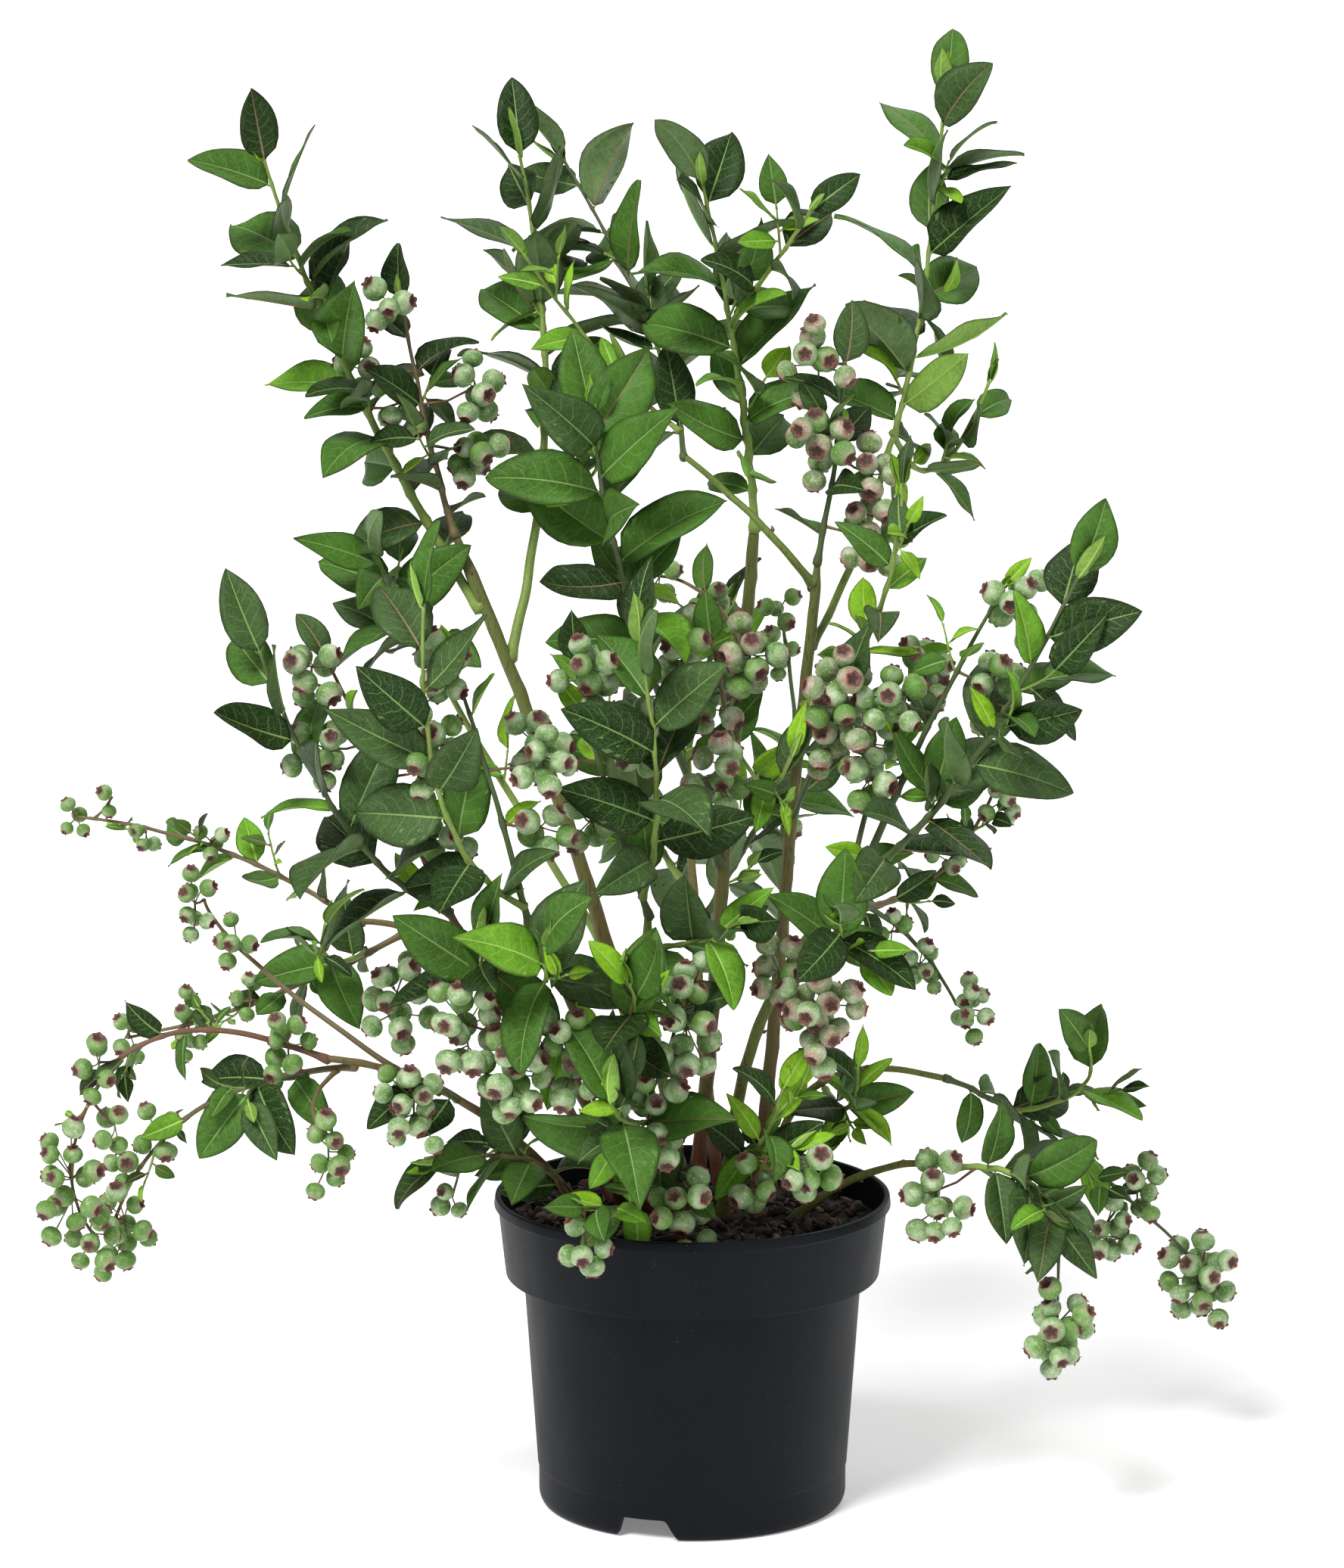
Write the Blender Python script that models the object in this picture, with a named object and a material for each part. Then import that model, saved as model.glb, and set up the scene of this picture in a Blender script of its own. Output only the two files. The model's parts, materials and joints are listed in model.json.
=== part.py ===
# A highbush blueberry in fruit, in its five litre nursery pot.
# Metres, +Z up, +X to the viewer's right, -Y towards the viewer.
# The origin is the middle of the pot's flat underside, on the floor.

import math
import random

import bmesh
import bpy
from mathutils import Vector
from mathutils.bvhtree import BVHTree

CM = 0.01
MM = 0.001
GAP = 0.3 * MM
GOLDEN = math.radians(137.5)
SMOOTH_ANGLE = math.radians(40)

# Pot: thin moulded plastic, a stepped collar under the lip and a skirt with three notches.
POT_HEIGHT = 180 * MM
LIP_RADIUS = 113.5 * MM
LIP_DEPTH = 6.5 * MM
COLLAR_TOP_RADIUS = 111.2 * MM
COLLAR_FOOT_RADIUS = 106.8 * MM
COLLAR_FOOT_Z = 134 * MM
WALL_TOP_RADIUS = 96.6 * MM
WALL_FOOT_RADIUS = 88.9 * MM
SKIRT_TOP_Z = 22 * MM
SKIRT_STEP = 0.6 * MM
SKIRT_FOOT_RADIUS = 85 * MM
FOOT_ROUND_HEIGHT = 6.5 * MM
FOOT_ROUND_STEPS = 2
WALL = 1.9 * MM
BASE_DISC_RADIUS = 50 * MM
BASE_THICKNESS = 3 * MM
CHANNEL_INNER_RADIUS = 53 * MM
CHANNEL_OUTER_RADIUS = 80 * MM
CHANNEL_RISE = 10 * MM
POT_SEGMENTS = 30
NOTCHES = 3
NOTCH_BEARING = math.radians(-106)
NOTCH_HEIGHT = 12 * MM
NOTCH_TOP_WIDTH = 26 * MM
NOTCH_FOOT_WIDTH = 36 * MM
NOTCH_SLANT = 4 * MM
DRAIN_HOLES = 6
DRAIN_RADIUS = 5 * MM
DRAIN_RING_RADIUS = 66 * MM
DRAIN_SIDES = 10

# Potting mix: it fills the pot to just under the collar's top.
SOIL_TOP_Z = 165 * MM
SOIL_SIDE_GAP = 1.5 * GAP
STEM_FOOT_Z = SOIL_TOP_Z + GAP

# Limbs and twigs
LIMB_SIDES = 6
LIMB_RING_SPACING = 50 * MM
TWIG_SIDES = 3
TWIG_RING_SPACING = 65 * MM
TWIG_TIP_RADIUS = 0.9 * MM
TWIG_BASE_RADIUS = 1.1 * MM
TWIG_RADIUS_PER_LENGTH = 0.007
TWIG_SHARE_OF_LIMB = 0.95  # the thickest a twig may be, of the limb that bears it
TWIG_FREE_FROM = 0.06  # the share of a twig from which it must pass clear
SPUR_RADIUS = 0.9 * MM
SUNK = 1.3 * MM
CLEARANCE = 0.45 * MM
ACROSS_ALL = Vector((0.31, 0.95, 0.05))  # a direction that no limb or twig runs along
LEAST_SLANT = 0.55
SEAT_STRETCH = 1.4
SEAT_PROBES = 6
SEAT_ROUNDS = 4
TIP_SHIFT = 0.7  # of the shift in depth that its middle gets

# Leaves: the first four are shares of a leaf's length
LEAF_WIDTH = 0.58
LEAF_THICKNESS = 1 / 55
LEAF_SAG = 0.09
LEAF_SHOULDERS = (0.36, 0.70)
LEAF_KEEL = 0.48
LEAF_OUTER_WIDTH = 0.92  # of the half width
LEAF_LEAST = 0.8 * MM
LEAF_SET_OUT = 0.12  # of the twig's radius
LEAF_SKIP = 4
LEAF_TRIAL_FROM = 0.2
YOUNG_LENGTH = 0.8
END_LENGTH = 0.74  # the first and last leaves of a twig, against those in its middle
SPREAD_FOOT = math.radians(70)
SPREAD_TIP = math.radians(36)
SPREAD_LOOSE = (0.85, 1.1)
LENGTH_LOOSE = (0.92, 1.08)
TERMINAL_SPREAD = 0.25
DROOP = Vector((0, 0, -0.12))
LIGHT = Vector((0, -0.55, 0.6))
FACE_OUTWARD = 0.4
FACE_ALONG = 0.2
FACE_LOOSE = 0.45

# Fruit
BERRY_RADIUS = 7 * MM
BERRIES_PER_SOLID = 16
BERRIES_OF_FIRST_SOLID = 4
BERRY_SPACING = 1.75 * BERRY_RADIUS
BERRY_DEPTH = 0.3
BERRY_DROP = 0.6
BUNCH_DEPTH = (-0.8, 0.4)

# Each limb: where it starts, a point it bends through and its tip (cm), and the radii
# of its two ends (mm). A cane starts in the soil at x, y; a bough starts on another
# limb, at a share of that limb's length.
LIMBS = {
    "cane_left": ((-1.5, 2.5), (-5, 2, 32.5), (-13.5, 4, 55.5), 4.9, 3.7),
    "cane_centre": ((0.2, 4.4), (2, 4, 38.5), (3.5, 3, 56), 4.6, 3.5),
    "cane_right": ((3.8, 3.4), (5.5, 2, 37.5), (7, 0, 54.5), 4.3, 3.0),
    "cane_right_low": ((1.8, 1.4), (4, -3, 29), (9, -5, 36.5), 3.8, 2.8),
    "cane_left_low": ((-3.8, 1.2), (-7.5, -5, 27.5), (-13, -8, 35), 3.8, 2.8),
    "cane_mid_left": ((-2.2, -0.8), (-6, -8, 29), (-9, -11, 36), 3.7, 2.8),
    "cane_mid": ((0, 0.4), (-2, -4, 27.5), (-2.5, -6, 35.5), 3.7, 2.8),
    "cane_back": ((1.6, 6.8), (0.5, 11, 26.5), (0, 16, 34.5), 3.7, 2.7),
    "bough_left_upper": ((-4.6, 4), (-12, 9, 28), (-19.5, 11, 31.5), 3.0, 1.9),
    "bough_left_arch": ((-5.6, -1.6), (-12.5, -6, 24.5), (-20.5, -7, 27.5), 3.0, 2.0),
    "bough_right_upper": ((4.6, 6), (7.5, 8, 22.5), (15, 9, 22.5), 2.8, 1.9),
    "bough_right_low": ((6, 0.4), (10.5, -1, 19.5), (15, -4, 20.5), 2.6, 1.9),
    "bough_tall": (("cane_right", 0.84), (9.5, 4, 55), (11, 6, 59.5), 2.4, 2.0),
    "bough_upper_centre": (("cane_right", 0.96), (3.5, -1, 57), (-0.5, 3, 60), 2.4, 1.8),
}


# A twig of a mass: the point it bends through and its tip (cm), its leaves and their
# length (cm), the stretch that bears them, the share of bright young ones, and its
# bunches of fruit as (share of the twig, berries, bunch's offset across and up in cm).
# The first twig of a mass is its stem. The others leave the stem at the share "off".
def twig(via, tip, leaves=0, size=5, first=0.12, last=1.0, young=0.0, off=None, fruit=()):
    return {
        "via": via,
        "tip": tip,
        "leaves": leaves,
        "size": size,
        "first": first,
        "last": last,
        "young": young,
        "off": off,
        "fruit": fruit,
    }


# Each mass: the limb that bears it, the share of that limb's length, and its twigs.
MASSES = {
    "crown_left": ("cane_left", 0.92, [
        twig((-19.5, 5, 64.5), (-24, 4, 76.5), leaves=16, size=5.8, fruit=[(0.42, 4, 2.0, 0.5)]),
    ]),
    "crown_left_fruit": ("cane_left", 1.0, [
        twig((-15, 5, 61), (-16.5, 6, 68.5), leaves=8, size=4.2, fruit=[
            (0.98, 4, -1.0, 0.5), (0.75, 4, -3.0, 0.0), (0.62, 6, 3.0, 1.0), (0.45, 5, 2.5, 0.0),
        ]),
    ]),
    "crown_mid_left": ("cane_left", 0.86, [
        twig((-8.5, 11, 62), (-10, 15, 76), leaves=15, size=5.8, first=0.3),
    ]),
    "crown_back": ("bough_upper_centre", 1.0, [
        twig((-2.5, 12, 66.5), (-7.5, 18, 75.5), leaves=14, size=5.8),
        twig((-5, 7, 65), (-9.5, 6, 71), leaves=8, size=4.2, young=1.0, off=0.1),
    ]),
    "crown_centre": ("cane_centre", 1.0, [
        twig((2.5, 3, 65), (0.5, 2, 75.5), leaves=17, size=6.0, young=0.15),
        twig((4.5, 1, 71), (6.5, 0, 74), leaves=6, size=4.4, off=0.62),
    ]),
    "crown_right_fruit": ("cane_right", 1.0, [
        twig((8, 0, 60.5), (8.5, 0, 65.5), leaves=5, size=4, fruit=[
            (1.0, 7, -1.5, 0.5), (0.62, 7, -1.0, 0.0), (0.5, 6, 2.0, -1.0), (0.15, 7, 2.5, 0.0),
        ]),
    ]),
    "crown_tall": ("bough_tall", 1.0, [
        twig((13, 10, 67), (14.5, 13, 79.5), leaves=17, size=5.8),
        twig((14, 9, 58.5), (17, 9, 63.5), leaves=8, size=3.8, young=0.3, off=0.1),
    ]),
    "crown_young": ("cane_right", 0.74, [
        twig((10, -4, 51.5), (11.5, -6, 59.5), leaves=11, size=4, young=0.6),
    ]),
    "centre_leafy": ("cane_centre", 0.45, [
        twig((-3.5, -3, 52.5), (-5.5, -5, 63), leaves=14, size=6.6, first=0.42),
    ]),
    "left_whorl": ("cane_left", 0.5, [
        twig((-14, 6, 46), (-18, 3, 54.5), leaves=8, size=5.6, first=0.6),
    ]),
    "left_fruiting": ("cane_left_low", 1.0, [
        twig((-16.5, -9, 43), (-20, -10, 50.5), leaves=5, size=3.6, young=0.7, fruit=[
            (0.98, 6, -1.0, 0.0), (0.68, 6, -2.5, 0.0), (0.55, 6, 2.5, 1.0), (0.35, 4, 2.0, 0.0),
        ]),
        twig((-19, -11, 41.5), (-23.5, -11, 51), leaves=13, size=5.8, young=0.15, off=0.06),
    ]),
    "mid_left_fruiting": ("cane_mid_left", 1.0, [
        twig((-11, -12, 44), (-13, -12, 50.5), leaves=5, size=3.6, young=0.7, fruit=[
            (0.98, 6, -1.0, 0.0), (0.68, 6, -2.5, 0.0), (0.55, 6, 3.0, 1.0), (0.35, 4, 2.0, 0.0),
        ]),
        twig((-13.5, -14, 43), (-14.5, -14, 54), leaves=11, size=5.8, off=0.06),
    ]),
    "mid_fruiting": ("cane_mid", 1.0, [
        twig((-5, -7, 43.5), (-6.5, -8, 50), leaves=5, size=3.6, young=0.7, fruit=[
            (0.98, 6, 1.0, 0.0), (0.68, 6, 2.5, 0.0), (0.55, 5, -3.5, 1.5), (0.35, 4, -1.5, 0.0),
        ]),
        twig((-2, -9, 43), (-3, -10, 51.5), leaves=11, size=5.8, off=0.06),
    ]),
    "right_fruiting": ("cane_right_low", 1.0, [
        twig((12.5, -6, 45), (17, -7, 54), leaves=5, size=3.6, young=0.7, fruit=[
            (0.98, 6, 1.0, 0.0), (0.74, 6, 2.0, -0.5), (0.6, 6, -2.5, 1.5), (0.4, 4, -2.0, 0.0),
        ]),
        twig((15, -8, 44), (21, -9, 55), leaves=14, size=6, young=0.15, off=0.06),
    ]),
    "left_upper_arch": ("bough_left_upper", 1.0, [
        twig((-28, 13, 35.5), (-36.5, 15, 37), leaves=7, size=3.2, last=0.6, fruit=[
            (1.0, 5, 0.0, 0.0), (0.93, 2, 1.0, 1.5), (0.75, 4, 0.0, 0.0), (0.52, 4, 0.0, 0.5),
        ]),
    ]),
    "left_mid_arch": ("bough_left_upper", 0.82, [
        twig((-25, 8, 27.5), (-33, 9, 25), leaves=6, size=3, last=0.5, fruit=[
            (1.0, 5, 0.0, 0.5), (0.78, 10, 0.0, 0.0), (0.55, 4, 0.0, 0.5),
        ]),
        twig((-21, 5, 30.5), (-21, 3, 33), leaves=6, size=4.8, young=0.3, off=0.14),
    ]),
    "left_long_arch": ("bough_left_arch", 1.0, [
        twig((-30, -9, 29), (-34.5, -10, 22), leaves=6, size=2.8, first=0.3, last=0.7, fruit=[
            (0.1, 9, 0.0, 0.5), (0.62, 6, -1.5, 0.0), (0.8, 5, 1.0, -1.0), (0.98, 16, 0.0, -1.0),
        ]),
        twig((-34, -10, 19.5), (-33, -10, 18), off=1.0, fruit=[(0.9, 8, 0.0, 0.0)]),
    ]),
    "left_drop": ("bough_left_arch", 0.9, [
        twig((-28, -3, 23.5), (-33, -2, 16.5), leaves=4, size=3, first=0.2, last=0.55, fruit=[
            (0.62, 6, -1.0, 0.0), (0.78, 5, -1.0, 0.5), (0.97, 14, 0.5, 0.0),
        ]),
        twig((-24, -9, 26.5), (-24.5, -11, 26), leaves=5, size=4.4, off=0.14),
        twig((-21, -10, 25.5), (-20, -11, 24), off=0.05, fruit=[(1.0, 9, 0.0, -0.5)]),
    ]),
    "left_rise": ("bough_left_arch", 0.76, [
        twig((-24.5, -3, 32), (-27.5, -2, 35.5), fruit=[(1.0, 9, -0.5, 0.0), (0.7, 6, 0.0, 0.0)]),
    ]),
    "right_upper_arch": ("bough_right_upper", 1.0, [
        twig((21.5, 10, 18.5), (29.5, 10, 11.5), leaves=12, size=4.2, last=0.62, fruit=[
            (0.72, 5, 1.5, 0.0), (0.76, 8, -1.0, -1.5), (1.0, 16, 0.5, -1.0),
        ]),
        twig((22.5, 8, 22), (23, 6, 25), leaves=5, size=4.6, off=0.3),
    ]),
    "right_low_arch": ("bough_right_low", 1.0, [
        twig((19, -6, 20), (20.5, -7, 16.5), leaves=15, size=4.9, last=0.85, fruit=[
            (0.1, 9, -2.0, -1.0), (1.0, 11, 0.0, -4.5),
        ]),
    ]),
    "right_thin": ("cane_right_low", 0.9, [
        twig((14, 3, 36), (17.5, 4, 41.5), leaves=8, size=3.2, last=0.6, fruit=[
            (0.58, 2, 0.0, 0.0), (0.95, 8, 0.5, 0.0),
        ]),
        twig((12.5, 1, 32.5), (15, 0, 29), off=0.12, fruit=[
            (0.4, 4, -0.5, 0.0), (0.7, 6, -0.5, 0.0), (1.0, 8, 0.5, 0.0),
        ]),
    ]),
    "centre_fruit_back": ("cane_centre", 0.78, [
        twig((1, 9, 51), (-2, 11, 52), leaves=3, size=3.4, fruit=[
            (1.0, 5, 0.0, 0.0), (0.5, 6, 0.0, 0.0),
        ]),
    ]),
    "centre_fruit": ("cane_centre", 0.62, [
        twig((1.5, -2, 48), (1, -4, 50.5), leaves=3, size=3.2, fruit=[
            (1.0, 7, -1.5, 0.0), (0.85, 7, 2.0, 0.0), (0.4, 6, -1.0, 0.0),
        ]),
        twig((4, -4, 42.5), (5.5, -6, 44.5), leaves=5, size=4.6, young=0.6, off=0.1),
        twig((1, -4, 42.5), (1.5, -6, 44), off=0.06, fruit=[(1.0, 7, 0.0, 0.0)]),
    ]),
    "right_fruit_back": ("cane_right", 0.66, [
        twig((5.5, 7, 48), (5, 8, 50), leaves=3, size=3.6, fruit=[
            (1.0, 5, 0.0, 0.5), (0.6, 7, -0.5, 0.0),
        ]),
    ]),
    "right_fruit": ("cane_right", 0.56, [
        twig((7.5, -4, 45.5), (8.5, -6, 48.5), leaves=2, size=3.4, fruit=[
            (1.0, 8, 0.0, 0.0), (0.55, 7, 0.0, 0.0),
        ]),
    ]),
    "right_fruit_mid": ("cane_right_low", 0.97, [
        twig((10.5, -1, 43), (12, -1, 48), leaves=4, size=3.6, fruit=[
            (0.75, 6, -1.0, 0.0), (1.0, 8, 1.0, 0.5),
        ]),
    ]),
    "low_left_fruit": ("cane_left_low", 0.45, [
        twig((-9, -11, 30.5), (-10.5, -13, 29), leaves=2, size=3.8, fruit=[
            (1.0, 14, 0.5, -0.5), (0.8, 9, -2.5, 1.0),
        ]),
    ]),
    "low_left_out": ("cane_left_low", 0.84, [
        twig((-11.5, -11, 33), (-11.5, -13, 35), leaves=6, size=5.8),
        twig((-14.5, -8, 32), (-16, -8, 31.5), off=0.1, fruit=[(1.0, 9, -0.5, 0.0)]),
    ]),
    "low_left_under": ("bough_left_arch", 0.55, [
        twig((-14.5, -9, 26.5), (-15.5, -10, 26.5), leaves=2, size=3.4, fruit=[
            (1.0, 12, 0.0, -0.5),
        ]),
    ]),
    "low_left_leafy": ("bough_left_arch", 0.12, [
        twig((-9.5, -6, 21.5), (-14, -7, 21.5), leaves=9, size=4.4, fruit=[(0.9, 2, -0.5, -2.0)]),
    ]),
    "low_mid_fruit": ("cane_mid_left", 0.5, [
        twig((-5.5, -12, 30), (-6.5, -13, 29.5), fruit=[(1.0, 9, 0.0, 0.0)]),
        twig((-3.5, -13, 31), (-3.5, -15, 33.5), leaves=6, size=5.4, young=0.3, off=0.14),
    ]),
    "mid_left_whorl": ("cane_mid_left", 0.84, [
        twig((-8, -14, 33.5), (-8, -17, 36), leaves=6, size=5.6),
    ]),
    "centre_low_fruit": ("cane_mid", 0.62, [
        twig((0, -8, 30.5), (-0.5, -9, 31.5), leaves=1, size=5.4, fruit=[(1.0, 12, 0.0, -0.5)]),
        twig((-1.5, -9, 28), (-2.5, -9, 25.5), off=0.3, fruit=[(1.0, 11, 0.0, -0.5)]),
    ]),
    "front_whorl": ("cane_mid", 0.3, [
        twig((-3.5, -12, 25), (-4.5, -15, 27), leaves=6, size=5.8),
        twig((-1, -6, 21), (0, -8, 20), leaves=3, size=2.6, off=0.12, fruit=[
            (1.0, 7, -0.5, -0.5),
        ]),
    ]),
    "centre_whorl": ("cane_mid", 0.86, [
        twig((0.5, -8, 34.5), (2.5, -11, 36), leaves=7, size=5.2, young=0.3),
    ]),
    "right_low_fruit": ("cane_right_low", 0.7, [
        twig((6.5, -7, 32), (7, -9, 32), fruit=[(0.4, 7, -1.5, 0.0), (1.0, 14, 0.0, -1.0)]),
    ]),
    "right_whorl": ("cane_right_low", 0.84, [
        twig((8, -8, 34.5), (8, -11, 36), leaves=6, size=5.4),
    ]),
    "rim_left": ("cane_mid_left", 0.12, [
        twig((-3, -8, 19.5), (-6, -13, 20.5), leaves=8, size=3.4, young=0.3, first=0.5, fruit=[
            (1.0, 4, 0.0, -2.0),
        ]),
    ]),
    "rim_right": ("cane_right_low", 0.16, [
        twig((3.5, -6, 21.5), (5.5, -8, 22.5), leaves=6, size=3.8, young=0.3, fruit=[
            (0.7, 4, -1.0, -1.5), (1.0, 5, 1.0, -0.5),
        ]),
        twig((4, -7, 23), (5, -8, 26), leaves=7, size=4.2, young=0.7, off=0.3),
    ]),
    "right_low_leafy": ("bough_right_upper", 0.5, [
        twig((9, 4, 22), (9.5, 3, 24.5), leaves=11, size=4.2, young=0.5),
    ]),
    "back_left": ("cane_back", 0.88, [
        twig((-3, 22, 36), (-6, 27, 43), leaves=12, size=5.2, fruit=[(0.6, 5, 0.0, 0.0)]),
    ]),
    "back_top": ("cane_back", 1.0, [
        twig((0, 20, 41), (2, 23, 48), leaves=12, size=5.2, fruit=[(0.7, 5, 0.0, 0.0)]),
    ]),
    "back_right": ("cane_back", 0.74, [
        twig((3.5, 21, 34.5), (7.5, 27, 40), leaves=12, size=5.2, fruit=[(0.7, 5, 0.0, 0.0)]),
    ]),
}

COLOURS = {
    "pot": (0.018, 0.020, 0.024),
    "soil": (0.035, 0.020, 0.012),
    "bark": (0.20, 0.10, 0.05),
    "foliage": (0.07, 0.18, 0.045),
}


# Materials and objects

def material(name, colour, roughness):
    made = bpy.data.materials.new(name)
    made.use_nodes = True
    shader = made.node_tree.nodes["Principled BSDF"]
    shader.inputs["Base Color"].default_value = (*colour, 1)
    shader.inputs["Roughness"].default_value = roughness
    shader.inputs["Metallic"].default_value = 0
    return made


def add_object(name, verts, faces, surface=None):
    mesh = bpy.data.meshes.new(name)
    mesh.from_pydata([tuple(v) for v in verts], [], faces)
    if surface:
        mesh.materials.append(surface)
    made = bpy.data.objects.new(name, mesh)
    bpy.context.scene.collection.objects.link(made)
    return made


def shade_round(made):
    made.data.shade_smooth()
    made.data.set_sharp_from_angle(angle=SMOOTH_ANGLE)


# Turns a closed profile of (radius, height) points about Z. A radius of zero is one point.
def turned(profile, segments):
    verts = []
    rings = []
    for radius, height in profile:
        count = segments if radius > 0 else 1
        rings.append(range(len(verts), len(verts) + count))
        for i in range(count):
            angle = math.tau * i / segments
            verts.append((radius * math.cos(angle), radius * math.sin(angle), height))
    faces = []
    for lower, upper in zip(rings, rings[1:]):
        for i in range(segments):
            j = (i + 1) % segments
            corners = [lower[i % len(lower)], lower[j % len(lower)]]
            corners += [upper[j % len(upper)], upper[i % len(upper)]]
            faces.append(tuple(dict.fromkeys(corners)))
    return verts, faces


def apply_modifiers(made):
    graph = bpy.context.evaluated_depsgraph_get()
    fresh = bpy.data.meshes.new_from_object(made.evaluated_get(graph))
    made.modifiers.clear()
    made.data = fresh


# Keeps the largest closed shell of an object: a sealed hollow is filled, a scrap dropped.
def keep_main_shell(made):
    shape = bmesh.new()
    shape.from_mesh(made.data)
    bmesh.ops.triangulate(shape, faces=shape.faces[:])
    waiting = set(shape.faces)
    shells = []
    while waiting:
        shell = []
        front = [waiting.pop()]
        while front:
            face = front.pop()
            shell.append(face)
            for edge in face.edges:
                for other in edge.link_faces:
                    if other in waiting:
                        waiting.remove(other)
                        front.append(other)
        shells.append(shell)
    def volume(shell):
        corners = [[v.co for v in face.verts] for face in shell]
        return sum(a.dot(b.cross(c)) for a, b, c in corners)
    shells.sort(key=volume)
    scraps = [face for shell in shells[:-1] for face in shell]
    bmesh.ops.delete(shape, geom=scraps, context="FACES")
    loose = [v for v in shape.verts if not v.link_faces]
    bmesh.ops.delete(shape, geom=loose, context="VERTS")
    shape.to_mesh(made.data)
    shape.free()
    return len(shells) - 1


# Pot and potting mix

def pot_inside():
    return [
        (BASE_DISC_RADIUS - WALL, BASE_THICKNESS),
        (CHANNEL_INNER_RADIUS - WALL, CHANNEL_RISE + BASE_THICKNESS),
        (WALL_FOOT_RADIUS - 2 * WALL, CHANNEL_RISE + BASE_THICKNESS),
        (WALL_FOOT_RADIUS - WALL, SKIRT_TOP_Z),
        (WALL_TOP_RADIUS - WALL, COLLAR_FOOT_Z),
        (COLLAR_FOOT_RADIUS - WALL, COLLAR_FOOT_Z + WALL),
    ]


# The quarter of an ellipse from the foot's flat ring up to the skirt's wall
def foot_round():
    reach = WALL_FOOT_RADIUS - SKIRT_STEP - SKIRT_FOOT_RADIUS
    points = []
    for i in range(FOOT_ROUND_STEPS + 1):
        angle = math.pi / 2 * i / FOOT_ROUND_STEPS
        height = FOOT_ROUND_HEIGHT * (1 - math.cos(angle))
        points.append((SKIRT_FOOT_RADIUS + reach * math.sin(angle), height))
    return points


def make_pot(surface):
    lip_inner_radius = COLLAR_TOP_RADIUS - WALL
    lip_foot_z = POT_HEIGHT - LIP_DEPTH
    outside = [
        (0, 0),
        (BASE_DISC_RADIUS, 0),
        (CHANNEL_INNER_RADIUS, CHANNEL_RISE),
        (CHANNEL_OUTER_RADIUS, CHANNEL_RISE),
        (CHANNEL_OUTER_RADIUS + WALL, 0),
        *foot_round(),
        (WALL_FOOT_RADIUS - SKIRT_STEP, SKIRT_TOP_Z - SKIRT_STEP),
        (WALL_FOOT_RADIUS, SKIRT_TOP_Z),
        (WALL_TOP_RADIUS, COLLAR_FOOT_Z - WALL),
        (COLLAR_FOOT_RADIUS, COLLAR_FOOT_Z),
        (COLLAR_TOP_RADIUS, lip_foot_z),
        (LIP_RADIUS, lip_foot_z + SKIRT_STEP),
        (LIP_RADIUS - WALL, POT_HEIGHT),
        (LIP_RADIUS - 2 * WALL, POT_HEIGHT),
        (lip_inner_radius, lip_foot_z),
    ]
    profile = outside + pot_inside()[::-1] + [(0, BASE_THICKNESS)]
    pot = add_object("nursery_pot", *turned(profile, POT_SEGMENTS), surface)
    cutters = bpy.data.collections.new("pot_cutters")
    bpy.context.scene.collection.children.link(cutters)
    for i in range(NOTCHES):
        bearing = NOTCH_BEARING + math.tau * i / NOTCHES
        cutters.objects.link(notch_cutter(bearing))
    for i in range(DRAIN_HOLES):
        bearing = math.tau * (i + 0.5) / DRAIN_HOLES
        cutters.objects.link(drain_cutter(bearing))
    cut = pot.modifiers.new("openings", "BOOLEAN")
    cut.operation = "DIFFERENCE"
    cut.operand_type = "COLLECTION"
    cut.collection = cutters
    cut.solver = "EXACT"
    apply_modifiers(pot)
    clear_collection(cutters)
    shade_round(pot)


def clear_collection(group):
    for made in list(group.objects):
        bpy.data.objects.remove(made, do_unlink=True)
    bpy.data.collections.remove(group)


# A wedge through the skirt: its top is narrower than its foot, and it leans to one side.
def notch_cutter(bearing):
    inner = CHANNEL_OUTER_RADIUS - 2 * WALL
    outer = WALL_FOOT_RADIUS + 4 * WALL
    corners = (
        (-NOTCH_FOOT_WIDTH / 2, -NOTCH_HEIGHT),
        (NOTCH_FOOT_WIDTH / 2, -NOTCH_HEIGHT),
        (NOTCH_TOP_WIDTH / 2 - NOTCH_SLANT, NOTCH_HEIGHT),
        (-NOTCH_TOP_WIDTH / 2 - NOTCH_SLANT, NOTCH_HEIGHT),
    )
    out = Vector((math.cos(bearing), math.sin(bearing), 0))
    across = Vector((-math.sin(bearing), math.cos(bearing), 0))
    verts = []
    for reach in (inner, outer):
        for side, height in corners:
            verts.append(out * reach + across * side + Vector((0, 0, height)))
    faces = [(3, 2, 1, 0), (4, 5, 6, 7)]
    faces += [(i, (i + 1) % 4, (i + 1) % 4 + 4, i + 4) for i in range(4)]
    return hidden_cutter("notch", verts, faces)


def drain_cutter(bearing):
    x = DRAIN_RING_RADIUS * math.cos(bearing)
    y = DRAIN_RING_RADIUS * math.sin(bearing)
    floor = CHANNEL_RISE
    points = [Vector((x, y, floor - WALL)), Vector((x, y, floor + BASE_THICKNESS + WALL))]
    verts, faces = tube(points, [DRAIN_RADIUS] * 2, DRAIN_SIDES)
    return hidden_cutter("drain", verts, faces)


def hidden_cutter(name, verts, faces):
    mesh = bpy.data.meshes.new(name)
    mesh.from_pydata([tuple(v) for v in verts], [], faces)
    made = bpy.data.objects.new(name, mesh)
    made.hide_render = True
    made.display_type = "WIRE"
    return made


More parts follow.
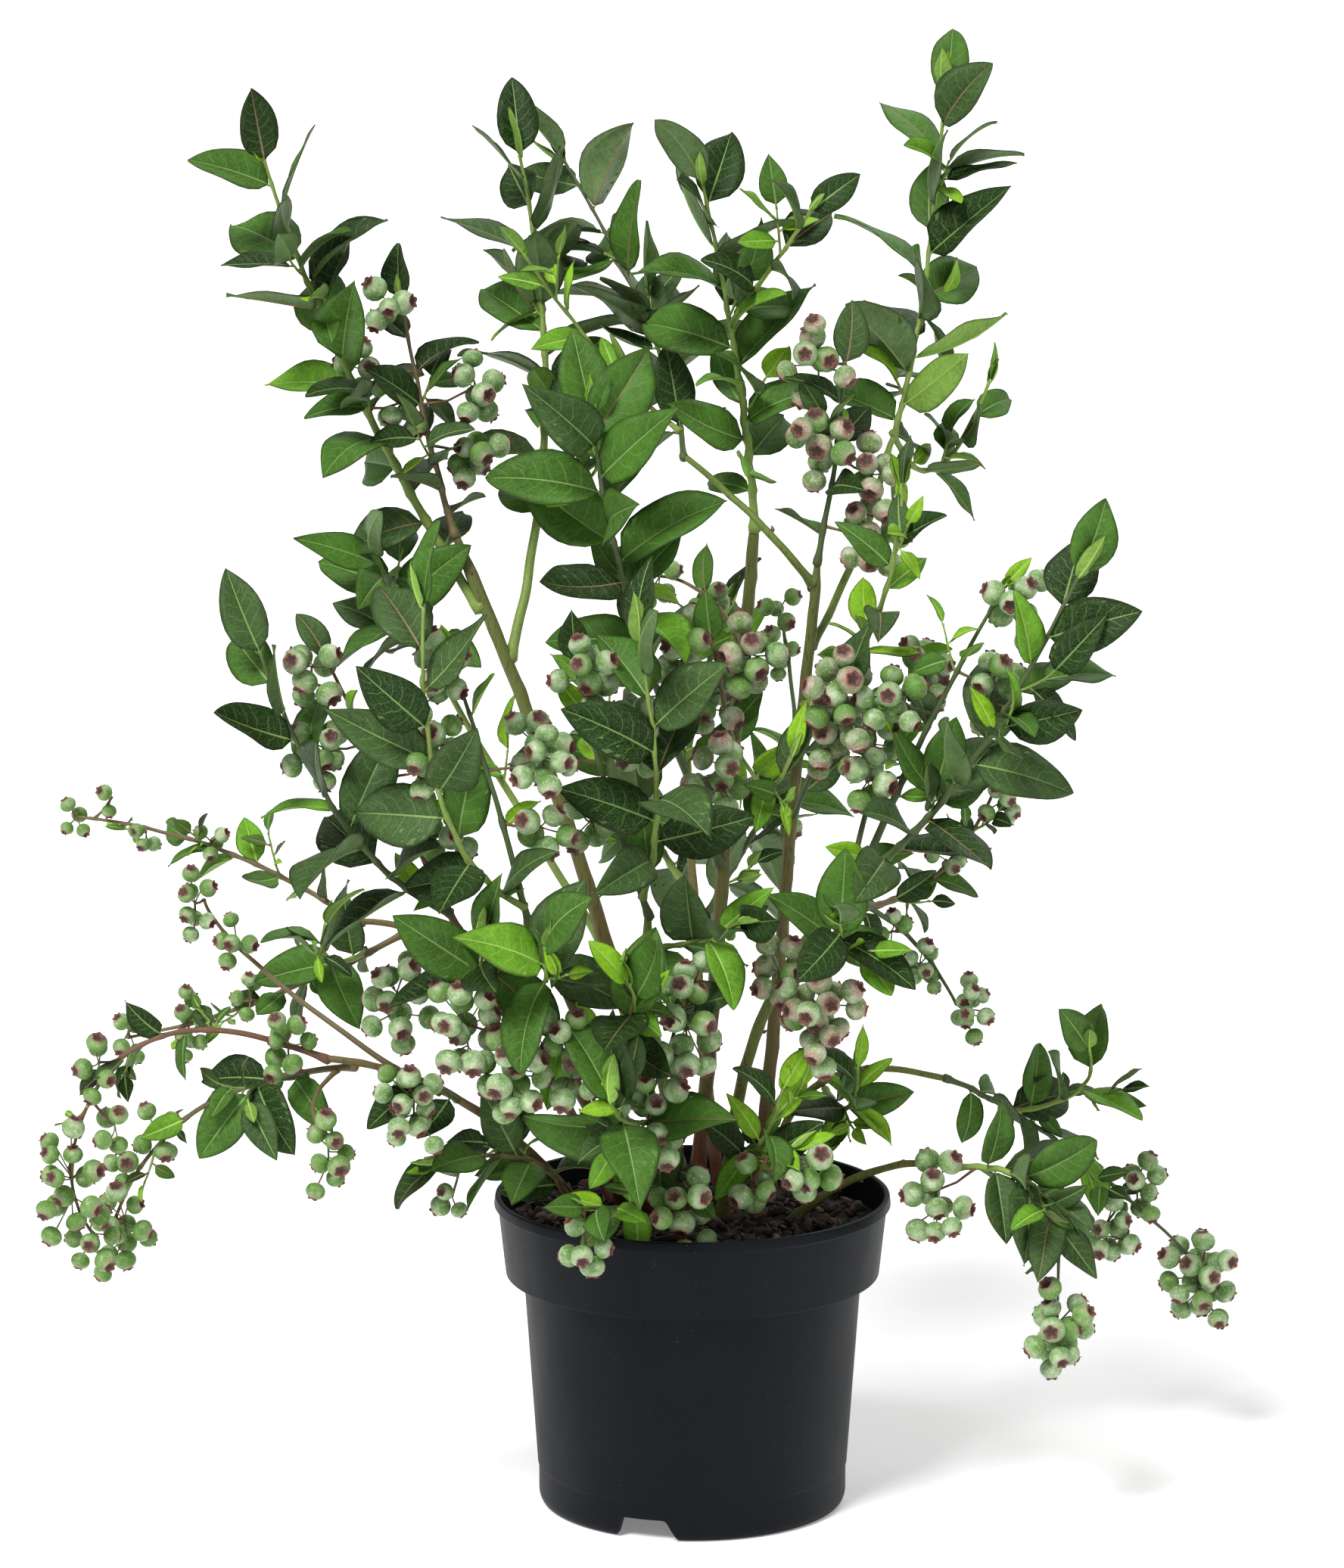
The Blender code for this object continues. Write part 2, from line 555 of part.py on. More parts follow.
def make_soil(surface):
    inside = pot_inside()
    slope = (COLLAR_TOP_RADIUS - COLLAR_FOOT_RADIUS) / (POT_HEIGHT - LIP_DEPTH - COLLAR_FOOT_Z)
    top_radius = COLLAR_FOOT_RADIUS - WALL + slope * (SOIL_TOP_Z - COLLAR_FOOT_Z)
    profile = [(0, BASE_THICKNESS + GAP)]
    profile += [(radius - SOIL_SIDE_GAP, height + GAP) for radius, height in inside]
    profile += [(top_radius - SOIL_SIDE_GAP, SOIL_TOP_Z), (0, SOIL_TOP_Z)]
    soil = add_object("potting_mix", *turned(profile, POT_SEGMENTS), surface)
    shade_round(soil)


# Curves and tubes

class Path:
    # The curve through three points that a limb or a twig follows.
    def __init__(self, root, via, tip, root_radius, tip_radius, spacing):
        self.root = root
        self.tip = tip
        self.pull = via * 2 - (root + tip) / 2
        self.radii = (root_radius, tip_radius)
        self.length = (via - root).length + (tip - via).length
        self.count = max(2, round(self.length / spacing))

    def curve(self, u):
        return self.root * (1 - u) ** 2 + self.pull * (2 * u * (1 - u)) + self.tip * u ** 2

    # The point on the straight pieces that the tube is made of
    def at(self, u):
        step = min(int(u * self.count), self.count - 1)
        start = self.curve(step / self.count)
        end = self.curve((step + 1) / self.count)
        return start.lerp(end, u * self.count - step)

    def along(self, u):
        slope = (self.pull - self.root) * (1 - u) + (self.tip - self.pull) * u
        return slope.normalized()

    def radius(self, u):
        return self.radii[0] + (self.radii[1] - self.radii[0]) * u

    def across(self, u, angle):
        along = self.along(u)
        side = along.cross(ACROSS_ALL).normalized()
        other = along.cross(side)
        return side * math.cos(angle) + other * math.sin(angle)

    def mesh(self, sides, cut=None, extra=0.0, start=0.0):
        steps = [start + (1 - start) * i / self.count for i in range(self.count + 1)]
        points = [self.at(u) for u in steps]
        radii = [self.radius(u) + extra for u in steps]
        return tube(points, radii, sides, cut)


# A closed tube of straight pieces round the points. With "cut", the first ring is slid along
# the tube until it lies flat, square to that direction.
def tube(points, radii, sides, cut=None):
    verts = []
    faces = []
    aims = []
    for i in range(len(points)):
        aims.append((points[min(i + 1, len(points) - 1)] - points[max(i - 1, 0)]).normalized())
    side = aims[0].orthogonal().normalized()
    for i, (centre, radius, aim) in enumerate(zip(points, radii, aims)):
        side = (side - aim * side.dot(aim)).normalized()
        other = aim.cross(side)
        for k in range(sides):
            angle = math.tau * k / sides
            offset = (side * math.cos(angle) + other * math.sin(angle)) * radius
            if i == 0 and cut:
                offset -= aim * (offset.dot(cut) / max(aim.dot(cut), LEAST_SLANT))
                offset -= cut * offset.dot(cut)
            verts.append(centre + offset)
    for i in range(len(points) - 1):
        for k in range(sides):
            a = i * sides + k
            b = i * sides + (k + 1) % sides
            faces.append((a, b, b + sides))
            faces.append((a, b + sides, a + sides))
    last = len(verts) - sides
    for k in range(1, sides - 1):
        faces.append((0, k + 1, k))
        faces.append((last, last + k, last + k + 1))
    return verts, faces


class Piece:
    # A mesh already in place, kept with a search tree to see what would touch it.
    def __init__(self, owner, verts, faces):
        self.owner = owner
        self.verts = [Vector(v) for v in verts]
        self.faces = faces
        self.low = [min(v[i] for v in self.verts) for i in range(3)]
        self.high = [max(v[i] for v in self.verts) for i in range(3)]
        self.tree = BVHTree.FromPolygons(self.verts, faces)

    def touches(self, other):
        for i in range(3):
            if self.low[i] > other.high[i] or self.high[i] < other.low[i]:
                return False
        return bool(self.tree.overlap(other.tree))


placed = []


def first_touch(verts, faces, owner, own=False):
    trial = Piece(owner, verts, faces)
    for piece in placed:
        if (piece.owner != owner or own) and trial.touches(piece):
            return piece.owner
    return None


# Limbs

limb_paths = {}
limb_trees = {}


# Where a branch may start on a limb, GAP clear of its bark, and the plane it is cut to.
def seat(limb, share, aim_point, radius):
    path = limb_paths[limb]
    centre = path.at(share)
    along = path.along(share)
    if share >= 1:
        return centre + along * GAP, along
    out = aim_point - centre
    out = (out - along * out.dot(along)).normalized()
    start = centre + out * (path.radius(share) + GAP)
    side = out.cross(along)
    probes = [(0, 0)] + [(math.cos(k), math.sin(k)) for k in range(SEAT_PROBES)]
    for _ in range(SEAT_ROUNDS):
        spots = [start + (along * a * SEAT_STRETCH + side * b) * radius for a, b in probes]
        clear = min(limb_trees[limb].find_nearest(spot)[3] for spot in spots)
        start -= out * (clear - GAP)
    return start, out


def make_limbs(surface):
    for name, (start, via, tip, root_radius, tip_radius) in LIMBS.items():
        via = Vector(via) * CM
        tip = Vector(tip) * CM
        if isinstance(start[0], str):
            root, cut = seat(*start, via, root_radius * MM)
        else:
            root = Vector((start[0] * CM, start[1] * CM, STEM_FOOT_Z))
            cut = Vector((0, 0, 1))
        path = Path(root, via, tip, root_radius * MM, tip_radius * MM, LIMB_RING_SPACING)
        verts, faces = path.mesh(LIMB_SIDES, cut)
        limb_paths[name] = path
        limb_trees[name] = BVHTree.FromPolygons(verts, faces)
        hit = first_touch(verts, faces, name)
        if hit:
            print(name, "touches", hit)
        placed.append(Piece(name, verts, faces))
        limb = add_object(name, verts, faces, surface)
        shade_round(limb)


# Masses

# Depths (cm) a twig may shift by, to pass clear of what is there already.
SHIFTS = (0, 1, -1, 2, -2, 3, -3, 4.5, -4.5)


def make_twigs():
    masses = {}
    for name, (limb, share, rows) in MASSES.items():
        paths = []
        pieces = []
        for row in rows:
            path, mesh = place_twig(name, limb, share, row, paths)
            if path:
                path.row = row
                paths.append(path)
                pieces.append(mesh)
        for verts, faces in pieces:
            placed.append(Piece(name, verts, faces))
        masses[name] = (paths, pieces)
    return masses


def place_twig(name, limb, share, row, paths):
    for shift in SHIFTS:
        via = Vector(row["via"]) * CM + Vector((0, shift * CM, 0))
        tip = Vector(row["tip"]) * CM + Vector((0, shift * CM * TIP_SHIFT, 0))
        span = (tip - via).length * 2
        radius = TWIG_BASE_RADIUS + TWIG_RADIUS_PER_LENGTH * span
        if row["off"] is None:
            top = limb_paths[limb].radius(share)
            radius = min(radius, top * TWIG_SHARE_OF_LIMB)
            root, cut = seat(limb, share, via, radius)
        else:
            radius = min(radius, paths[0].radius(row["off"]))
            root, cut = paths[0].at(row["off"]), None
        path = Path(root, via, tip, radius, TWIG_TIP_RADIUS, TWIG_RING_SPACING)
        trial = path.mesh(TWIG_SIDES, cut, CLEARANCE, TWIG_FREE_FROM)
        if not first_touch(*trial, name):
            return path, path.mesh(TWIG_SIDES, cut)
    print(name, "has a twig left out, by", first_touch(*trial, name))
    return None, None


def ball(centre, radius):
    shape = bmesh.new()
    bmesh.ops.create_icosphere(shape, subdivisions=1, radius=radius)
    verts = [v.co + centre for v in shape.verts]
    faces = [tuple(v.index for v in face.verts) for face in shape.faces]
    shape.free()
    return verts, faces


# The solids of a bunch: one berry on the spur's end and, on a big bunch, others against it.
def berry_places(count, rng):
    places = [Vector((0, 0, 0))]
    turn = rng.uniform(0, math.tau)
    others = round((count - BERRIES_OF_FIRST_SOLID) / BERRIES_PER_SOLID)
    for i in range(others):
        angle = turn + i * math.pi
        aim = Vector((math.cos(angle), BERRY_DEPTH * math.sin(angle), -BERRY_DROP)).normalized()
        places.append(aim * BERRY_SPACING)
    return places


def make_fruit(masses):
    for name, (paths, pieces) in masses.items():
        for number, path in enumerate(paths):
            for k, (share, count, across, up) in enumerate(path.row["fruit"]):
                seed = f"{name} {number} fruit {k}"
                place_bunch(name, path, share, count, across, up, seed, pieces)


def place_bunch(name, path, share, count, across, up, seed, pieces):
    rng = random.Random(seed)
    start = path.at(share) - path.along(share) * SUNK
    centre = start + Vector((across, rng.uniform(*BUNCH_DEPTH), up)) * CM
    made = []
    if (centre - start).length > BERRY_RADIUS / 2:
        made.append(tube([start, centre], [SPUR_RADIUS] * 2, TWIG_SIDES))
    for offset in berry_places(count, rng):
        spot = centre + offset
        if first_touch(*ball(spot, BERRY_RADIUS + CLEARANCE), name):
            break
        made.append(ball(spot, BERRY_RADIUS))
    for verts, faces in made:
        pieces.append((verts, faces))
        placed.append(Piece(name, verts, faces))


# A leaf as a six-point blade with a keel underneath; its tip sags.
def leaf(base, along, face, length, extra=0.0):
    side = face.cross(along)
    sag = LEAF_SAG * length
    half = LEAF_WIDTH / 2 * length + extra
    depth = max(length * LEAF_THICKNESS, LEAF_LEAST) + extra
    lower, upper = LEAF_SHOULDERS
    widest = base + along * (lower * length) + face * extra
    outer = base + along * (upper * length) + face * (extra - upper ** 3 * sag)
    keel = base + along * (LEAF_KEEL * length) - face * (depth + LEAF_KEEL ** 3 * sag)
    verts = [
        base - along * extra,
        widest - side * half,
        outer - side * (LEAF_OUTER_WIDTH * half),
        base + along * (length + extra) - face * sag,
        outer + side * (LEAF_OUTER_WIDTH * half),
        widest + side * half,
        keel,
    ]
    faces = [(0, 1, 5), (1, 2, 4), (1, 4, 5), (2, 3, 4)]
    faces += [((i + 1) % 6, i, 6) for i in range(6)]
    return verts, faces


# Where leaf i of a twig sits and how it lies. The turn grows by the golden angle.
def leaf_pose(path, i, seed, swing):
    row = path.row
    rng = random.Random(f"{seed} leaf {i}")
    count = row["leaves"]
    rank = i / max(count - 1, 1)
    share = row["first"] + (row["last"] - row["first"]) * rank
    along = path.along(share)
    turn = i * GOLDEN + random.Random(seed).uniform(0, math.tau) + swing
    spread = (SPREAD_FOOT + (SPREAD_TIP - SPREAD_FOOT) * rank) * rng.uniform(*SPREAD_LOOSE)
    if i == count - 1 and row["last"] >= 1:
        spread *= TERMINAL_SPREAD
    radial = path.across(share, turn)
    aim = (along * math.cos(spread) + radial * math.sin(spread)).normalized()
    aim = (aim + DROOP).normalized()
    outward = Vector((path.tip.x, path.tip.y, 0)).normalized()
    face = LIGHT + outward * FACE_OUTWARD + along * FACE_ALONG
    face += Vector([rng.uniform(-FACE_LOOSE, FACE_LOOSE) for _ in range(3)])
    face = (face - aim * face.dot(aim)).normalized()
    swell = END_LENGTH + (1 - END_LENGTH) * math.sin(math.pi * (i + 1) / (count + 1))
    length = row["size"] * CM * swell * rng.uniform(*LENGTH_LOOSE)
    if rng.random() < row["young"]:
        length *= YOUNG_LENGTH
    base = path.at(share) + aim * (LEAF_SET_OUT * path.radius(share)) - along * SUNK
    return base, aim, face, length


# Turns tried for a leaf that would touch something
SWINGS = tuple(math.radians(a) for a in (0, 25, -25, 50, -50, 80, -80, 115, -115, 180))


def make_leaves(masses):
    counts = [0, 0]
    for name, (paths, pieces) in masses.items():
        for number, path in enumerate(paths):
            last = path.row["leaves"] - 1
            for i in range(last + 1):
                if i % LEAF_SKIP == LEAF_SKIP - 2 and i != last:
                    continue
                done = place_leaf(name, path, i, f"{name} {number}", pieces)
                counts[done] += 1
    print("leaves placed", counts[1], "left out", counts[0])


def place_leaf(name, path, i, seed, pieces):
    for swing in SWINGS:
        base, aim, face, length = leaf_pose(path, i, seed, swing)
        trial = leaf(base, aim, face, length, CLEARANCE)
        if first_touch(*trial, name):
            continue
        start = base + aim * length * LEAF_TRIAL_FROM
        clear = leaf(start, aim, face, length * (1 - LEAF_TRIAL_FROM))
        if first_touch(*clear, name, own=True):
            continue
        verts, faces = leaf(base, aim, face, length)
        pieces.append((verts, faces))
        placed.append(Piece(name, verts, faces))
        return True
    return False


def fuse(name, pieces, surface):
    stem = add_object(name, *pieces[0], surface)
    group = bpy.data.collections.new(name + "_pieces")
    bpy.context.scene.collection.children.link(group)
    for k, (verts, faces) in enumerate(pieces[1:]):
        group.objects.link(hidden_cutter(f"piece_{k}", verts, faces))
    if len(pieces) > 1:
        join = stem.modifiers.new("fused", "BOOLEAN")
        join.operation = "UNION"
        join.operand_type = "COLLECTION"
        join.collection = group
        join.solver = "MANIFOLD"
        apply_modifiers(stem)
    clear_collection(group)
    scraps = keep_main_shell(stem)
    print(name, len(stem.data.polygons), "triangles,", scraps, "scraps")


def build():
    for old in list(bpy.data.objects):
        bpy.data.objects.remove(old, do_unlink=True)
    bark = material("bark", COLOURS["bark"], 0.7)
    make_pot(material("pot_plastic", COLOURS["pot"], 0.5))
    make_soil(material("potting_mix", COLOURS["soil"], 0.95))
    for made in ("nursery_pot", "potting_mix"):
        mesh = bpy.data.objects[made].data
        faces = [tuple(face.vertices) for face in mesh.polygons]
        placed.append(Piece(made, [v.co for v in mesh.vertices], faces))
    make_limbs(bark)
    masses = make_twigs()
    make_fruit(masses)
    make_leaves(masses)
    foliage = material("foliage", COLOURS["foliage"], 0.5)
    for name, (paths, pieces) in masses.items():
        fuse(name, pieces, foliage)


build()
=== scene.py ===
# Highbush blueberry in fruit, in its five litre nursery pot: the finish of every surface.
# Metres, +Z up, +X to the viewer's right, -Y towards the viewer.
import json
import math
import random

import bmesh
import bpy
import numpy as np
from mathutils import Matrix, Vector
from mathutils.bvhtree import BVHTree

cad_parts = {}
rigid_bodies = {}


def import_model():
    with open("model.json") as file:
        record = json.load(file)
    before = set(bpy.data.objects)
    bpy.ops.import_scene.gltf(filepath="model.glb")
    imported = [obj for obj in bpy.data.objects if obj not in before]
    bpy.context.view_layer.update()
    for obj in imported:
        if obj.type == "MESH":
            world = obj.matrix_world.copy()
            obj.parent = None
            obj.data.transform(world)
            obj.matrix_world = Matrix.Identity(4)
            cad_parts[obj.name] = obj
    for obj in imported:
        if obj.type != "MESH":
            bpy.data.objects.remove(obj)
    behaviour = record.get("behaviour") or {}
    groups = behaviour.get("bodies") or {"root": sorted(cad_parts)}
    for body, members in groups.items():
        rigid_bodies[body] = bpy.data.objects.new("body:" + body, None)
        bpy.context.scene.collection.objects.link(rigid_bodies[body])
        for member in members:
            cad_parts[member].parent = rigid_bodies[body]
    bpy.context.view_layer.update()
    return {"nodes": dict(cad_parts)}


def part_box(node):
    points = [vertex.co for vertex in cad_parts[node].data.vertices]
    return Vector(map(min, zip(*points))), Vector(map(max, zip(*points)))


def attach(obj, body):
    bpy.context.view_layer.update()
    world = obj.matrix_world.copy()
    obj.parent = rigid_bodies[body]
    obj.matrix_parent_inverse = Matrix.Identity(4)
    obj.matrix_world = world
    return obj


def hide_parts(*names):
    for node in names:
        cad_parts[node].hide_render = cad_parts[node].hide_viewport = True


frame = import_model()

cm = 0.01
mm = 0.001
golden = math.radians(137.5)
sideHint = (0.31, 0.95, 0.05)  # a direction that no limb or twig runs along
print("frame loaded:", len(frame["nodes"]), "nodes")


# Growth of the bush, as the solids have it

growth = {
    "gap": 0.3 * mm,
    "clearance": 0.45 * mm,
    "limbRing": 50 * mm,
    "limbSides": 6,
    "twigRing": 65 * mm,
    "twigSides": 3,
    "twigTip": 0.9 * mm,
    "twigBase": 1.1 * mm,
    "twigPerLength": 0.007,
    "limbShare": 0.95,  # of the limb's radius, as the most that a twig has
    "tipShift": 0.7,  # of the shift in depth of the point that the twig bends through
    "freeFrom": 0.06,  # the share of a twig from which it keeps clear of its neighbours
    "squareLeast": 0.55,  # keeps a very slanted foot short
    "seatTrials": 4,
    "footStretch": 1.4,
    "spur": 0.9 * mm,
    "sunk": 1.3 * mm,
    "berry": 7 * mm,
    "soloBerries": 4,
    "berriesPerSolid": 16,
    "nextBall": 1.75,  # in berry radii, from the hub
    "hubSway": (-0.8, 0.4),  # cm of depth
    "leafWidth": 0.58,
    "leafThickness": 1 / 55,
    "leafLeast": 0.8 * mm,
    "leafSag": 0.09,
    "leafStations": (0.36, 0.7, 0.48),  # the widest pair, the outer pair and the keel
    "leafOuter": 0.92,  # of the widest pair
    "leafFoot": 0.2,  # the share of a leaf that may touch its own mass
    "leafSetOut": 0.12,
    "leafSkip": 4,
    "leafSpread": (70, 34),  # degrees from the twig at its foot, and how many fewer at its tip
    "spreadSway": (0.85, 1.1),
    "endSpread": 0.25,  # the last leaf nearly goes on along the twig
    "leafDroop": 0.12,
    "faceOutward": 0.4,
    "faceAlong": 0.2,
    "faceSway": 0.45,
    "leafSwell": 0.26,  # how much smaller the leaves are at a twig's ends
    "lengthSway": (0.92, 1.08),
    "youngLength": 0.8,
    "light": Vector((0, -0.55, 0.6)),
    "shifts": (0, 1, -1, 2, -2, 3, -3, 4.5, -4.5),  # cm of depth
    "swings": tuple(math.radians(a) for a in (0, 25, -25, 50, -50, 80, -80, 115, -115, 180)),
}

# A cane starts in the soil at x, y (cm). A bough that starts on another limb names it, with the
# share of its length. Then come a point it bends through, its tip (cm) and its end radii (mm).
limbs = {
    "cane_left": ((-1.5, 2.5), (-5, 2, 32.5), (-13.5, 4, 55.5), 4.9, 3.7),
    "cane_centre": ((0.2, 4.4), (2, 4, 38.5), (3.5, 3, 56), 4.6, 3.5),
    "cane_right": ((3.8, 3.4), (5.5, 2, 37.5), (7, 0, 54.5), 4.3, 3.0),
    "cane_right_low": ((1.8, 1.4), (4, -3, 29), (9, -5, 36.5), 3.8, 2.8),
    "cane_left_low": ((-3.8, 1.2), (-7.5, -5, 27.5), (-13, -8, 35), 3.8, 2.8),
    "cane_mid_left": ((-2.2, -0.8), (-6, -8, 29), (-9, -11, 36), 3.7, 2.8),
    "cane_mid": ((0, 0.4), (-2, -4, 27.5), (-2.5, -6, 35.5), 3.7, 2.8),
    "cane_back": ((1.6, 6.8), (0.5, 11, 26.5), (0, 16, 34.5), 3.7, 2.7),
    "bough_left_upper": ((-4.6, 4), (-12, 9, 28), (-19.5, 11, 31.5), 3.0, 1.9),
    "bough_left_arch": ((-5.6, -1.6), (-12.5, -6, 24.5), (-20.5, -7, 27.5), 3.0, 2.0),
    "bough_right_upper": ((4.6, 6), (7.5, 8, 22.5), (15, 9, 22.5), 2.8, 1.9),
    "bough_right_low": ((6, 0.4), (10.5, -1, 19.5), (15, -4, 20.5), 2.6, 1.9),
    "bough_tall": (("cane_right", 0.84), (9.5, 4, 55), (11, 6, 59.5), 2.4, 2.0),
    "bough_upper_centre": (("cane_right", 0.96), (3.5, -1, 57), (-0.5, 3, 60), 2.4, 1.8),
}


# A twig: the point it bends through and its tip (cm), its leaves, their length (cm), the stretch
# that bears them, the share of bright young ones, where it leaves the stem, and its bunches of
# fruit as (share of the twig, berries, offset across and up in cm).
def twig(via, tip, leaves=0, size=5, first=0.12, last=1.0, young=0.0, off=None, fruit=()):
    return {"via": via, "tip": tip, "leaves": leaves, "size": size, "first": first,
            "last": last, "young": young, "off": off, "fruit": fruit}


